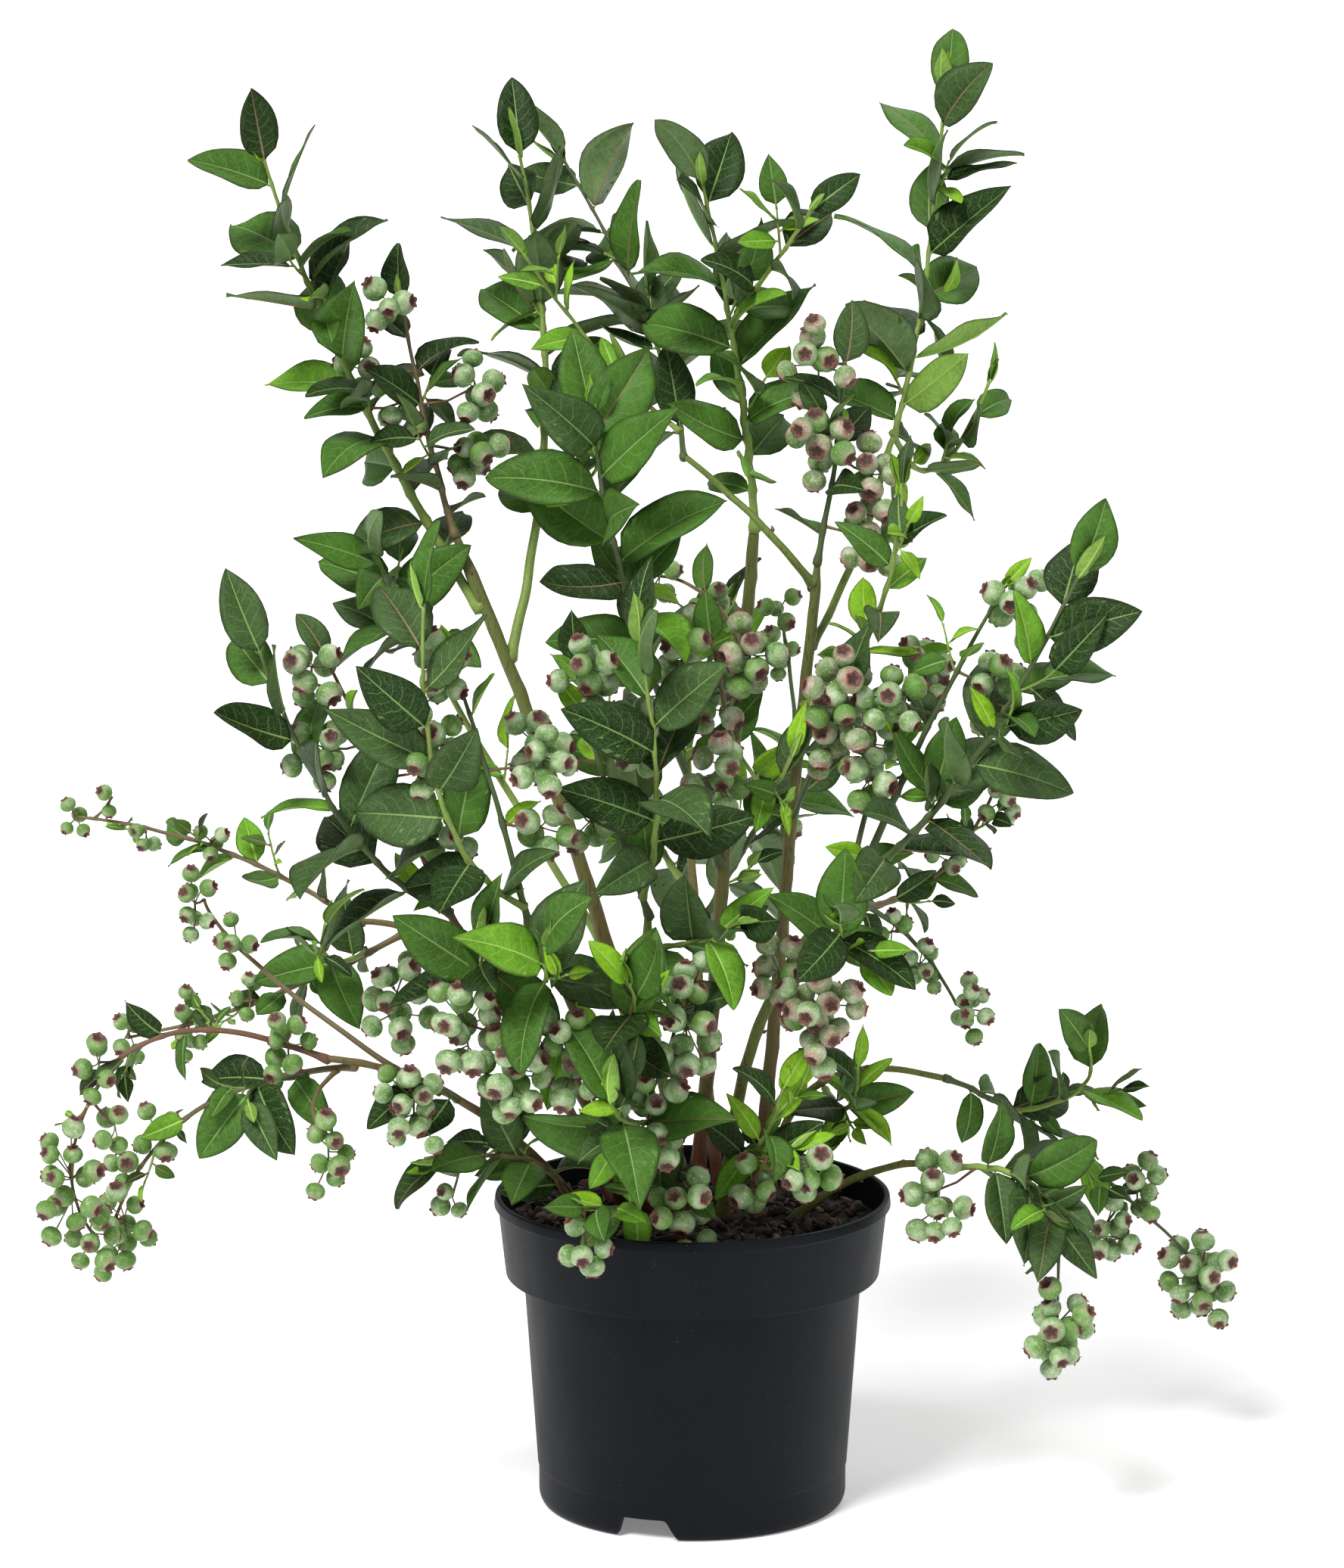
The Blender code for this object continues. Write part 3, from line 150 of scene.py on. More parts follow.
masses = {
    "crown_left": ("cane_left", 0.92, [
        twig((-19.5, 5, 64.5), (-24, 4, 76.5), 16, 5.8, fruit=[(0.42, 4, 2, 0.5)]),
    ]),
    "crown_left_fruit": ("cane_left", 1, [
        twig((-15, 5, 61), (-16.5, 6, 68.5), 8, 4.2, fruit=[
            (0.98, 4, -1, 0.5), (0.75, 4, -3, 0), (0.62, 6, 3, 1), (0.45, 5, 2.5, 0),
        ]),
    ]),
    "crown_mid_left": ("cane_left", 0.86, [
        twig((-8.5, 11, 62), (-10, 15, 76), 15, 5.8, first=0.3),
    ]),
    "crown_back": ("bough_upper_centre", 1, [
        twig((-2.5, 12, 66.5), (-7.5, 18, 75.5), 14, 5.8),
        twig((-5, 7, 65), (-9.5, 6, 71), 8, 4.2, young=1, off=0.1),
    ]),
    "crown_centre": ("cane_centre", 1, [
        twig((2.5, 3, 65), (0.5, 2, 75.5), 17, 6, young=0.15),
        twig((4.5, 1, 71), (6.5, 0, 74), 6, 4.4, off=0.62),
    ]),
    "crown_right_fruit": ("cane_right", 1, [
        twig((8, 0, 60.5), (8.5, 0, 65.5), 5, 4, fruit=[
            (1, 7, -1.5, 0.5), (0.62, 7, -1, 0), (0.5, 6, 2, -1), (0.15, 7, 2.5, 0),
        ]),
    ]),
    "crown_tall": ("bough_tall", 1, [
        twig((13, 10, 67), (14.5, 13, 79.5), 17, 5.8),
        twig((14, 9, 58.5), (17, 9, 63.5), 8, 3.8, young=0.3, off=0.1),
    ]),
    "crown_young": ("cane_right", 0.74, [
        twig((10, -4, 51.5), (11.5, -6, 59.5), 11, 4, young=0.6),
    ]),
    "centre_leafy": ("cane_centre", 0.45, [
        twig((-3.5, -3, 52.5), (-5.5, -5, 63), 14, 6.6, first=0.42),
    ]),
    "left_whorl": ("cane_left", 0.5, [
        twig((-14, 6, 46), (-18, 3, 54.5), 8, 5.6, first=0.6),
    ]),
    "left_fruiting": ("cane_left_low", 1, [
        twig((-16.5, -9, 43), (-20, -10, 50.5), 5, 3.6, young=0.7, fruit=[
            (0.98, 6, -1, 0), (0.68, 6, -2.5, 0), (0.55, 6, 2.5, 1), (0.35, 4, 2, 0),
        ]),
        twig((-19, -11, 41.5), (-23.5, -11, 51), 13, 5.8, young=0.15, off=0.06),
    ]),
    "mid_left_fruiting": ("cane_mid_left", 1, [
        twig((-11, -12, 44), (-13, -12, 50.5), 5, 3.6, young=0.7, fruit=[
            (0.98, 6, -1, 0), (0.68, 6, -2.5, 0), (0.55, 6, 3, 1), (0.35, 4, 2, 0),
        ]),
        twig((-13.5, -14, 43), (-14.5, -14, 54), 11, 5.8, off=0.06),
    ]),
    "mid_fruiting": ("cane_mid", 1, [
        twig((-5, -7, 43.5), (-6.5, -8, 50), 5, 3.6, young=0.7, fruit=[
            (0.98, 6, 1, 0), (0.68, 6, 2.5, 0), (0.55, 5, -3.5, 1.5), (0.35, 4, -1.5, 0),
        ]),
        twig((-2, -9, 43), (-3, -10, 51.5), 11, 5.8, off=0.06),
    ]),
    "right_fruiting": ("cane_right_low", 1, [
        twig((12.5, -6, 45), (17, -7, 54), 5, 3.6, young=0.7, fruit=[
            (0.98, 6, 1, 0), (0.74, 6, 2, -0.5), (0.6, 6, -2.5, 1.5), (0.4, 4, -2, 0),
        ]),
        twig((15, -8, 44), (21, -9, 55), 14, 6, young=0.15, off=0.06),
    ]),
    "left_upper_arch": ("bough_left_upper", 1, [
        twig((-28, 13, 35.5), (-36.5, 15, 37), 7, 3.2, last=0.6, fruit=[
            (1, 5, 0, 0), (0.93, 2, 1, 1.5), (0.75, 4, 0, 0), (0.52, 4, 0, 0.5),
        ]),
    ]),
    "left_mid_arch": ("bough_left_upper", 0.82, [
        twig((-25, 8, 27.5), (-33, 9, 25), 6, 3, last=0.5, fruit=[
            (1, 5, 0, 0.5), (0.78, 10, 0, 0), (0.55, 4, 0, 0.5),
        ]),
        twig((-21, 5, 30.5), (-21, 3, 33), 6, 4.8, young=0.3, off=0.14),
    ]),
    "left_long_arch": ("bough_left_arch", 1, [
        twig((-30, -9, 29), (-34.5, -10, 22), 6, 2.8, first=0.3, last=0.7, fruit=[
            (0.1, 9, 0, 0.5), (0.62, 6, -1.5, 0), (0.8, 5, 1, -1), (0.98, 16, 0, -1),
        ]),
        twig((-34, -10, 19.5), (-33, -10, 18), off=1, fruit=[(0.9, 8, 0, 0)]),
    ]),
    "left_drop": ("bough_left_arch", 0.9, [
        twig((-28, -3, 23.5), (-33, -2, 16.5), 4, 3, first=0.2, last=0.55, fruit=[
            (0.62, 6, -1, 0), (0.78, 5, -1, 0.5), (0.97, 14, 0.5, 0),
        ]),
        twig((-24, -9, 26.5), (-24.5, -11, 26), 5, 4.4, off=0.14),
        twig((-21, -10, 25.5), (-20, -11, 24), off=0.05, fruit=[(1, 9, 0, -0.5)]),
    ]),
    "left_rise": ("bough_left_arch", 0.76, [
        twig((-24.5, -3, 32), (-27.5, -2, 35.5), fruit=[(1, 9, -0.5, 0), (0.7, 6, 0, 0)]),
    ]),
    "right_upper_arch": ("bough_right_upper", 1, [
        twig((21.5, 10, 18.5), (29.5, 10, 11.5), 12, 4.2, last=0.62, fruit=[
            (0.72, 5, 1.5, 0), (0.76, 8, -1, -1.5), (1, 16, 0.5, -1),
        ]),
        twig((22.5, 8, 22), (23, 6, 25), 5, 4.6, off=0.3),
    ]),
    "right_low_arch": ("bough_right_low", 1, [
        twig((19, -6, 20), (20.5, -7, 16.5), 15, 4.9, last=0.85, fruit=[
            (0.1, 9, -2, -1), (1, 11, 0, -4.5),
        ]),
    ]),
    "right_thin": ("cane_right_low", 0.9, [
        twig((14, 3, 36), (17.5, 4, 41.5), 8, 3.2, last=0.6, fruit=[
            (0.58, 2, 0, 0), (0.95, 8, 0.5, 0),
        ]),
        twig((12.5, 1, 32.5), (15, 0, 29), off=0.12, fruit=[
            (0.4, 4, -0.5, 0), (0.7, 6, -0.5, 0), (1, 8, 0.5, 0),
        ]),
    ]),
    "centre_fruit_back": ("cane_centre", 0.78, [
        twig((1, 9, 51), (-2, 11, 52), 3, 3.4, fruit=[
            (1, 5, 0, 0), (0.5, 6, 0, 0),
        ]),
    ]),
    "centre_fruit": ("cane_centre", 0.62, [
        twig((1.5, -2, 48), (1, -4, 50.5), 3, 3.2, fruit=[
            (1, 7, -1.5, 0), (0.85, 7, 2, 0), (0.4, 6, -1, 0),
        ]),
        twig((4, -4, 42.5), (5.5, -6, 44.5), 5, 4.6, young=0.6, off=0.1),
        twig((1, -4, 42.5), (1.5, -6, 44), off=0.06, fruit=[(1, 7, 0, 0)]),
    ]),
    "right_fruit_back": ("cane_right", 0.66, [
        twig((5.5, 7, 48), (5, 8, 50), 3, 3.6, fruit=[
            (1, 5, 0, 0.5), (0.6, 7, -0.5, 0),
        ]),
    ]),
    "right_fruit": ("cane_right", 0.56, [
        twig((7.5, -4, 45.5), (8.5, -6, 48.5), 2, 3.4, fruit=[
            (1, 8, 0, 0), (0.55, 7, 0, 0),
        ]),
    ]),
    "right_fruit_mid": ("cane_right_low", 0.97, [
        twig((10.5, -1, 43), (12, -1, 48), 4, 3.6, fruit=[
            (0.75, 6, -1, 0), (1, 8, 1, 0.5),
        ]),
    ]),
    "low_left_fruit": ("cane_left_low", 0.45, [
        twig((-9, -11, 30.5), (-10.5, -13, 29), 2, 3.8, fruit=[
            (1, 14, 0.5, -0.5), (0.8, 9, -2.5, 1),
        ]),
    ]),
    "low_left_out": ("cane_left_low", 0.84, [
        twig((-11.5, -11, 33), (-11.5, -13, 35), 6, 5.8),
        twig((-14.5, -8, 32), (-16, -8, 31.5), off=0.1, fruit=[(1, 9, -0.5, 0)]),
    ]),
    "low_left_under": ("bough_left_arch", 0.55, [
        twig((-14.5, -9, 26.5), (-15.5, -10, 26.5), 2, 3.4, fruit=[
            (1, 12, 0, -0.5),
        ]),
    ]),
    "low_left_leafy": ("bough_left_arch", 0.12, [
        twig((-9.5, -6, 21.5), (-14, -7, 21.5), 9, 4.4, fruit=[(0.9, 2, -0.5, -2)]),
    ]),
    "low_mid_fruit": ("cane_mid_left", 0.5, [
        twig((-5.5, -12, 30), (-6.5, -13, 29.5), fruit=[(1, 9, 0, 0)]),
        twig((-3.5, -13, 31), (-3.5, -15, 33.5), 6, 5.4, young=0.3, off=0.14),
    ]),
    "mid_left_whorl": ("cane_mid_left", 0.84, [
        twig((-8, -14, 33.5), (-8, -17, 36), 6, 5.6),
    ]),
    "centre_low_fruit": ("cane_mid", 0.62, [
        twig((0, -8, 30.5), (-0.5, -9, 31.5), 1, 5.4, fruit=[(1, 12, 0, -0.5)]),
        twig((-1.5, -9, 28), (-2.5, -9, 25.5), off=0.3, fruit=[(1, 11, 0, -0.5)]),
    ]),
    "front_whorl": ("cane_mid", 0.3, [
        twig((-3.5, -12, 25), (-4.5, -15, 27), 6, 5.8),
        twig((-1, -6, 21), (0, -8, 20), 3, 2.6, off=0.12, fruit=[
            (1, 7, -0.5, -0.5),
        ]),
    ]),
    "centre_whorl": ("cane_mid", 0.86, [
        twig((0.5, -8, 34.5), (2.5, -11, 36), 7, 5.2, young=0.3),
    ]),
    "right_low_fruit": ("cane_right_low", 0.7, [
        twig((6.5, -7, 32), (7, -9, 32), fruit=[(0.4, 7, -1.5, 0), (1, 14, 0, -1)]),
    ]),
    "right_whorl": ("cane_right_low", 0.84, [
        twig((8, -8, 34.5), (8, -11, 36), 6, 5.4),
    ]),
    "rim_left": ("cane_mid_left", 0.12, [
        twig((-3, -8, 19.5), (-6, -13, 20.5), 8, 3.4, young=0.3, first=0.5, fruit=[
            (1, 4, 0, -2),
        ]),
    ]),
    "rim_right": ("cane_right_low", 0.16, [
        twig((3.5, -6, 21.5), (5.5, -8, 22.5), 6, 3.8, young=0.3, fruit=[
            (0.7, 4, -1, -1.5), (1, 5, 1, -0.5),
        ]),
        twig((4, -7, 23), (5, -8, 26), 7, 4.2, young=0.7, off=0.3),
    ]),
    "right_low_leafy": ("bough_right_upper", 0.5, [
        twig((9, 4, 22), (9.5, 3, 24.5), 11, 4.2, young=0.5),
    ]),
    "back_left": ("cane_back", 0.88, [
        twig((-3, 22, 36), (-6, 27, 43), 12, 5.2, fruit=[(0.6, 5, 0, 0)]),
    ]),
    "back_top": ("cane_back", 1, [
        twig((0, 20, 41), (2, 23, 48), 12, 5.2, fruit=[(0.7, 5, 0, 0)]),
    ]),
    "back_right": ("cane_back", 0.74, [
        twig((3.5, 21, 34.5), (7.5, 27, 40), 12, 5.2, fruit=[(0.7, 5, 0, 0)]),
    ]),
}


class Bend:
    # The curve through three points that a limb or a twig follows
    def __init__(self, root, via, tip, rootRadius, tipRadius, spacing, sides):
        self.root = root
        self.tip = tip
        self.pull = via * 2 - (root + tip) / 2
        self.radii = (rootRadius, tipRadius)
        self.sides = sides
        self.length = (via - root).length + (tip - via).length
        self.count = max(2, round(self.length / spacing))

    def curve(self, u):
        return self.root * (1 - u) ** 2 + self.pull * (2 * u * (1 - u)) + self.tip * u ** 2

    def chord(self, u):  # the point on the straight rods of the solid
        step = min(int(u * self.count), self.count - 1)
        start = self.curve(step / self.count)
        return start.lerp(self.curve((step + 1) / self.count), u * self.count - step)

    def along(self, u):
        return ((self.pull - self.root) * (1 - u) + (self.tip - self.pull) * u).normalized()

    def radius(self, u):
        return self.radii[0] + (self.radii[1] - self.radii[0]) * u

    def across(self, u, angle):
        along = self.along(u)
        side = along.cross(Vector(sideHint)).normalized()
        return side * math.cos(angle) + along.cross(side) * math.sin(angle)

    def rods(self, cut=None, extra=0.0, start=0.0):
        steps = [start + (1 - start) * i / self.count for i in range(self.count + 1)]
        radii = [self.radius(u) + extra for u in steps]
        return rodTube([self.chord(u) for u in steps], radii, self.sides, cut)


# A closed tube of straight rods, as the solids have it. "cut" squares its first ring.
def rodTube(points, radii, sides, cut=None):
    verts = []
    faces = []
    last = len(points) - 1
    aims = [(points[min(i + 1, last)] - points[max(i - 1, 0)]).normalized() for i in range(last + 1)]
    side = aims[0].orthogonal().normalized()
    for i, (centre, radius, aim) in enumerate(zip(points, radii, aims)):
        side = (side - aim * side.dot(aim)).normalized()
        other = aim.cross(side)
        for k in range(sides):
            angle = math.tau * k / sides
            offset = (side * math.cos(angle) + other * math.sin(angle)) * radius
            if i == 0 and cut:
                offset -= aim * (offset.dot(cut) / max(aim.dot(cut), growth["squareLeast"]))
                offset -= cut * offset.dot(cut)
            verts.append(centre + offset)
    for i in range(last):
        for k in range(sides):
            a = i * sides + k
            b = i * sides + (k + 1) % sides
            faces.append((a, b, b + sides))
            faces.append((a, b + sides, a + sides))
    end = last * sides
    for k in range(1, sides - 1):
        faces.append((0, k + 1, k))
        faces.append((end, end + k, end + k + 1))
    return verts, faces


class Crowd:
    # What is in place already, with search trees to see what would touch it
    def __init__(self, room):
        self.owners = []
        self.trees = []
        self.low = np.full((room, 3), np.inf)
        self.high = np.full((room, 3), -np.inf)

    def add(self, owner, verts, faces):
        spots = np.array([tuple(v) for v in verts])
        self.low[len(self.trees)] = spots.min(0)
        self.high[len(self.trees)] = spots.max(0)
        self.trees.append(BVHTree.FromPolygons(verts, faces))
        self.owners.append(owner)

    def touched(self, verts, faces, owner, own=False):
        spots = np.array([tuple(v) for v in verts])
        near = (self.low <= spots.max(0)).all(1) & (self.high >= spots.min(0)).all(1)
        near = [k for k in near.nonzero()[0] if own or self.owners[k] != owner]
        trial = BVHTree.FromPolygons(verts, faces) if near else None
        return any(self.trees[k].overlap(trial) for k in near)


def solidMesh(name):
    solid = frame["nodes"][name].data
    return [v.co.copy() for v in solid.vertices], [tuple(face.vertices) for face in solid.polygons]


potParts = ("nursery_pot", "potting_mix")
crowd = Crowd(room=6000)
for name in potParts:
    crowd.add(name, *solidMesh(name))
limbPaths = {}
limbTrees = {}


# Where a branch starts on a limb, a gap clear of its bark, and the plane it is cut to
def seatOn(limb, share, aimPoint, radius):
    path = limbPaths[limb]
    centre = path.chord(share)
    along = path.along(share)
    if share >= 1:
        return centre + along * growth["gap"], along
    out = aimPoint - centre
    out = (out - along * out.dot(along)).normalized()
    start = centre + out * (path.radius(share) + growth["gap"])
    side = out.cross(along)
    probes = [(0, 0)] + [(math.cos(k), math.sin(k)) for k in range(6)]
    for _ in range(growth["seatTrials"]):
        spots = [start + (along * a * growth["footStretch"] + side * b) * radius for a, b in probes]
        clear = min(limbTrees[limb].find_nearest(spot)[3] for spot in spots)
        start -= out * (clear - growth["gap"])
    return start, out


def growLimbs():
    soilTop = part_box("potting_mix")[1].z
    for name, (start, via, tip, rootRadius, tipRadius) in limbs.items():
        via = Vector(via) * cm
        if isinstance(start[0], str):
            root, cut = seatOn(*start, via, rootRadius * mm)
        else:
            root = Vector((start[0] * cm, start[1] * cm, soilTop + growth["gap"]))
            cut = Vector((0, 0, 1))
        path = Bend(root, via, Vector(tip) * cm, rootRadius * mm, tipRadius * mm,
                    growth["limbRing"], growth["limbSides"])
        verts, faces = path.rods(cut)
        path.cut = cut
        limbPaths[name] = path
        limbTrees[name] = BVHTree.FromPolygons(verts, faces)
        crowd.add(name, verts, faces)


def growTwig(name, limb, share, row, paths):
    for shift in growth["shifts"]:
        via = Vector(row["via"]) * cm + Vector((0, shift * cm, 0))
        tip = Vector(row["tip"]) * cm + Vector((0, shift * cm * growth["tipShift"], 0))
        radius = growth["twigBase"] + growth["twigPerLength"] * (tip - via).length * 2
        if row["off"] is None:
            radius = min(radius, limbPaths[limb].radius(share) * growth["limbShare"])
            root, cut = seatOn(limb, share, via, radius)
        else:
            radius = min(radius, paths[0].radius(row["off"]))
            root, cut = paths[0].chord(row["off"]), None
        path = Bend(root, via, tip, radius, growth["twigTip"], growth["twigRing"], growth["twigSides"])
        if not crowd.touched(*path.rods(cut, growth["clearance"], growth["freeFrom"]), name):
            path.cut = cut
            path.row = row
            path.share = share
            return path
    return None


def ball(centre, radius):
    shape = bmesh.new()
    bmesh.ops.create_icosphere(shape, subdivisions=1, radius=radius)
    verts = [v.co + centre for v in shape.verts]
    faces = [tuple(v.index for v in face.verts) for face in shape.faces]
    shape.free()
    return verts, faces


# Puts the solid of a bunch in place and returns the bunch's start on the twig and its middle
def growBunch(name, path, fruit, seed):
    share, count, across, up = fruit
    rng = random.Random(seed)
    radius = growth["berry"]
    start = path.chord(share) - path.along(share) * growth["sunk"]
    centre = start + Vector((across, rng.uniform(*growth["hubSway"]), up)) * cm
    made = []
    if (centre - start).length > radius / 2:
        made.append(rodTube([start, centre], [growth["spur"]] * 2, growth["twigSides"]))
    turn = rng.uniform(0, math.tau)
    spots = [centre]
    for i in range(round((count - growth["soloBerries"]) / growth["berriesPerSolid"])):
        angle = turn + i * math.pi
        aim = Vector((math.cos(angle), 0.3 * math.sin(angle), -0.6)).normalized()
        spots.append(centre + aim * growth["nextBall"] * radius)
    for spot in spots:
        if crowd.touched(*ball(spot, radius + growth["clearance"]), name):
            break
        made.append(ball(spot, radius))
    for piece in made:
        crowd.add(name, *piece)
    return start, centre


# The six-point blade with a keel that stands for a leaf in the solids
def plainLeaf(base, along, face, length, extra=0.0):
    widestAt, outerAt, keelAt = growth["leafStations"]
    side = face.cross(along)
    half = growth["leafWidth"] / 2 * length + extra
    outerHalf = growth["leafOuter"] * half
    depth = max(length * growth["leafThickness"], growth["leafLeast"]) + extra
    sag = growth["leafSag"] * length
    widest = base + along * (widestAt * length) + face * extra
    outer = base + along * (outerAt * length) + face * (extra - outerAt ** 3 * sag)
    verts = [
        base - along * extra,
        widest - side * half,
        outer - side * outerHalf,
        base + along * (length + extra) - face * sag,
        outer + side * outerHalf,
        widest + side * half,
        base + along * (keelAt * length) - face * (depth + keelAt ** 3 * sag),
    ]
    faces = [(0, 1, 5), (1, 2, 4), (1, 4, 5), (2, 3, 4)]
    return verts, faces + [((i + 1) % 6, i, 6) for i in range(6)]


# Where leaf i of a twig sits and how it lies. The turn grows by the golden angle.
def leafPose(path, i, seed, swing):
    row = path.row
    rng = random.Random(f"{seed} leaf {i}")
    count = row["leaves"]
    rank = i / max(count - 1, 1)
    share = row["first"] + (row["last"] - row["first"]) * rank
    along = path.along(share)
    turn = i * golden + random.Random(seed).uniform(0, math.tau) + swing
    footSpread, lessAtTip = growth["leafSpread"]
    spread = math.radians(footSpread - lessAtTip * rank) * rng.uniform(*growth["spreadSway"])
    if i == count - 1 and row["last"] >= 1:
        spread *= growth["endSpread"]
    aim = (along * math.cos(spread) + path.across(share, turn) * math.sin(spread)).normalized()
    aim = (aim - Vector((0, 0, growth["leafDroop"]))).normalized()
    outward = Vector((path.tip.x, path.tip.y, 0)).normalized()
    face = growth["light"] + outward * growth["faceOutward"] + along * growth["faceAlong"]
    sway = growth["faceSway"]
    face += Vector([rng.uniform(-sway, sway) for _ in range(3)])
    face = (face - aim * face.dot(aim)).normalized()
    swell = growth["leafSwell"]
    swell = 1 - swell + swell * math.sin(math.pi * (i + 1) / (count + 1))
    length = row["size"] * cm * swell * rng.uniform(*growth["lengthSway"])
    young = rng.random() < row["young"]
    if young:
        length *= growth["youngLength"]
    base = path.chord(share) + aim * (growth["leafSetOut"] * path.radius(share))
    return {"path": path, "seed": f"{seed} leaf {i}", "share": share, "young": young, "curls": False,
            "base": base - along * growth["sunk"], "aim": aim, "face": face, "length": length}


# Puts a leaf in place, unless it touches another mass or, beyond its foot, its own. Says if it did.
def seatLeaf(name, leaf, foot):
    base, aim, face, length = leaf["base"], leaf["aim"], leaf["face"], leaf["length"]
    if crowd.touched(*plainLeaf(base, aim, face, length, growth["clearance"]), name):
        return False
    beyond = plainLeaf(base + aim * length * foot, aim, face, length * (1 - foot))
    if crowd.touched(*beyond, name, own=True):
        return False
    crowd.add(name, *plainLeaf(base, aim, face, length))
    return True


# The leaf at the first swing at which it has room, or None
def growLeaf(name, path, i, seed):
    for swing in growth["swings"]:
        leaf = leafPose(path, i, seed, swing)
        if seatLeaf(name, leaf, growth["leafFoot"]):
            return leaf
    return None


# Small leafy shoots from the sides of the twigs, and tufts at their tips: finer than the solids go
sideShoots = {
    "openMasses": ("left_fruiting", "mid_left_fruiting", "mid_fruiting"),  # they have none
    "leastLeaves": 4,  # of a twig that has side shoots
    "spacing": 62 * mm,
    "crownSpacing": 84 * mm,
    "crownHeight": 0.5,  # above it the crown stays open
    "first": 0.22,  # of the twig's length
    "stretch": 0.66,
    "placeSway": (0.15, 0.85),
    "lean": 0.7,
    "rise": 0.25,
    "sag": 0.08,
    "freeFrom": 0.25,
    "length": (14 * mm, 30 * mm),
    "radii": (0.75 * mm, 0.45 * mm),
    "leafShare": 0.54,  # of the mass's leaf
    "crownLeafShare": 0.74,
    "leaves": (3, 4, 4),
    "firstLeaf": 0.4,
    "young": 0.3,
}
tuft = {
    "leastLeaves": 5,  # of a twig that ends in a tuft
    "leaves": 3,
    "length": (0.34, 0.54),  # of the twig's leaf
    "spread": 0.5,
    "spreadSway": (0.6, 1.2),
    "upright": 0.5,
    "below": 1,  # mm from the tip to the first leaf
    "apart": 1.5,  # mm
    "foot": 0.35,
}


def growSideShoots(name, path, seed):
    shape = sideShoots
    row = path.row
    shoots = []
    if row["leaves"] < shape["leastLeaves"] or name in shape["openMasses"]:
        return shoots
    rng = random.Random(seed + " side")
    isHigh = path.tip.z > shape["crownHeight"]
    count = round(path.length / shape["crownSpacing" if isHigh else "spacing"])
    for k in range(count):
        share = shape["first"] + shape["stretch"] * (k + rng.uniform(*shape["placeSway"])) / count
        out = path.across(share, rng.uniform(0, math.tau))
        aim = path.along(share) * shape["lean"] + out * shape["lean"]
        aim = (aim + Vector((0, 0, shape["rise"]))).normalized()
        length = rng.uniform(*shape["length"])
        root = path.curve(share)
        tip = root + aim * length
        via = root.lerp(tip, 0.5) - Vector((0, 0, shape["sag"] * length))
        shoot = Bend(root, via, tip, *shape["radii"], growth["twigRing"], growth["twigSides"])
        if crowd.touched(*shoot.rods(extra=growth["clearance"], start=shape["freeFrom"]), name):
            continue
        shoot.cut = None
        size = row["size"] * shape["crownLeafShare" if isHigh else "leafShare"]
        shoot.row = twig(via, tip, rng.choice(shape["leaves"]), size, first=shape["firstLeaf"],
                         young=max(row["young"], shape["young"]))
        shoots.append(shoot)
    return shoots


growLimbs()
plants = {}  # the twigs, side shoots, bunches and leaves of each mass
for name, (limb, share, rows) in masses.items():
    paths = []
    for row in rows:
        path = growTwig(name, limb, share, row, paths)
        if path:
            paths.append(path)
    for path in paths:
        crowd.add(name, *path.rods(path.cut))
    plants[name] = {"paths": paths, "shoots": [], "bunches": [], "leaves": []}
for name, plant in plants.items():
    for number, path in enumerate(plant["paths"]):
        for k, fruit in enumerate(path.row["fruit"]):
            seed = f"{name} {number} fruit {k}"
            start, hub = growBunch(name, path, fruit, seed)
            plant["bunches"].append({"path": path, "start": start, "hub": hub, "count": fruit[1],
                                     "share": fruit[0], "seed": seed})


# Leaf i of every twig, those that the solids have first, then those that they skip
def growLeaves(skipped):
    for name, plant in plants.items():
        for number, path in enumerate(plant["paths"]):
            last = path.row["leaves"] - 1
            for i in range(last + 1):
                isSkipped = i % growth["leafSkip"] == growth["leafSkip"] - 2 and i != last
                if isSkipped == skipped:
                    plant["leaves"].append(growLeaf(name, path, i, f"{name} {number}"))


# Small young leaves curling round the bud at a shoot's tip
def growTuft(name, path, seed):
    rng = random.Random(seed + " tuft")
    turn = rng.uniform(0, math.tau)
    along = path.along(1)
    made = []
    for k in range(tuft["leaves"]):
        out = path.across(1, turn + k * golden)
        aim = (along + out * tuft["spread"] * rng.uniform(*tuft["spreadSway"])).normalized()
        face = (along * tuft["upright"] - out).normalized()
        face = (face - aim * face.dot(aim)).normalized()
        length = path.row["size"] * cm * rng.uniform(*tuft["length"])
        base = path.tip - along * (tuft["below"] + tuft["apart"] * k) * mm
        leaf = {"path": path, "seed": f"{seed} tuft leaf {k}", "share": 1, "young": True, "curls": True,
                "base": base, "aim": aim, "face": face, "length": length}
        if seatLeaf(name, leaf, tuft["foot"]):
            made.append(leaf)
    return made


def growFinerParts():
    growLeaves(True)
    for name, plant in plants.items():
        for number, path in enumerate(plant["paths"]):
            seed = f"{name} {number}"
            for k, shoot in enumerate(growSideShoots(name, path, seed)):
                leaves = [growLeaf(name, shoot, i, f"{seed} shoot {k}") for i in range(shoot.row["leaves"])]
                if any(leaves):
                    plant["shoots"].append(shoot)
                    plant["leaves"] += leaves
            if path.row["leaves"] >= tuft["leastLeaves"] and path.row["last"] >= 1:
                plant["leaves"] += growTuft(name, path, seed)
        plant["leaves"] = [leaf for leaf in plant["leaves"] if leaf]


growLeaves(False)


# Where the berries hang

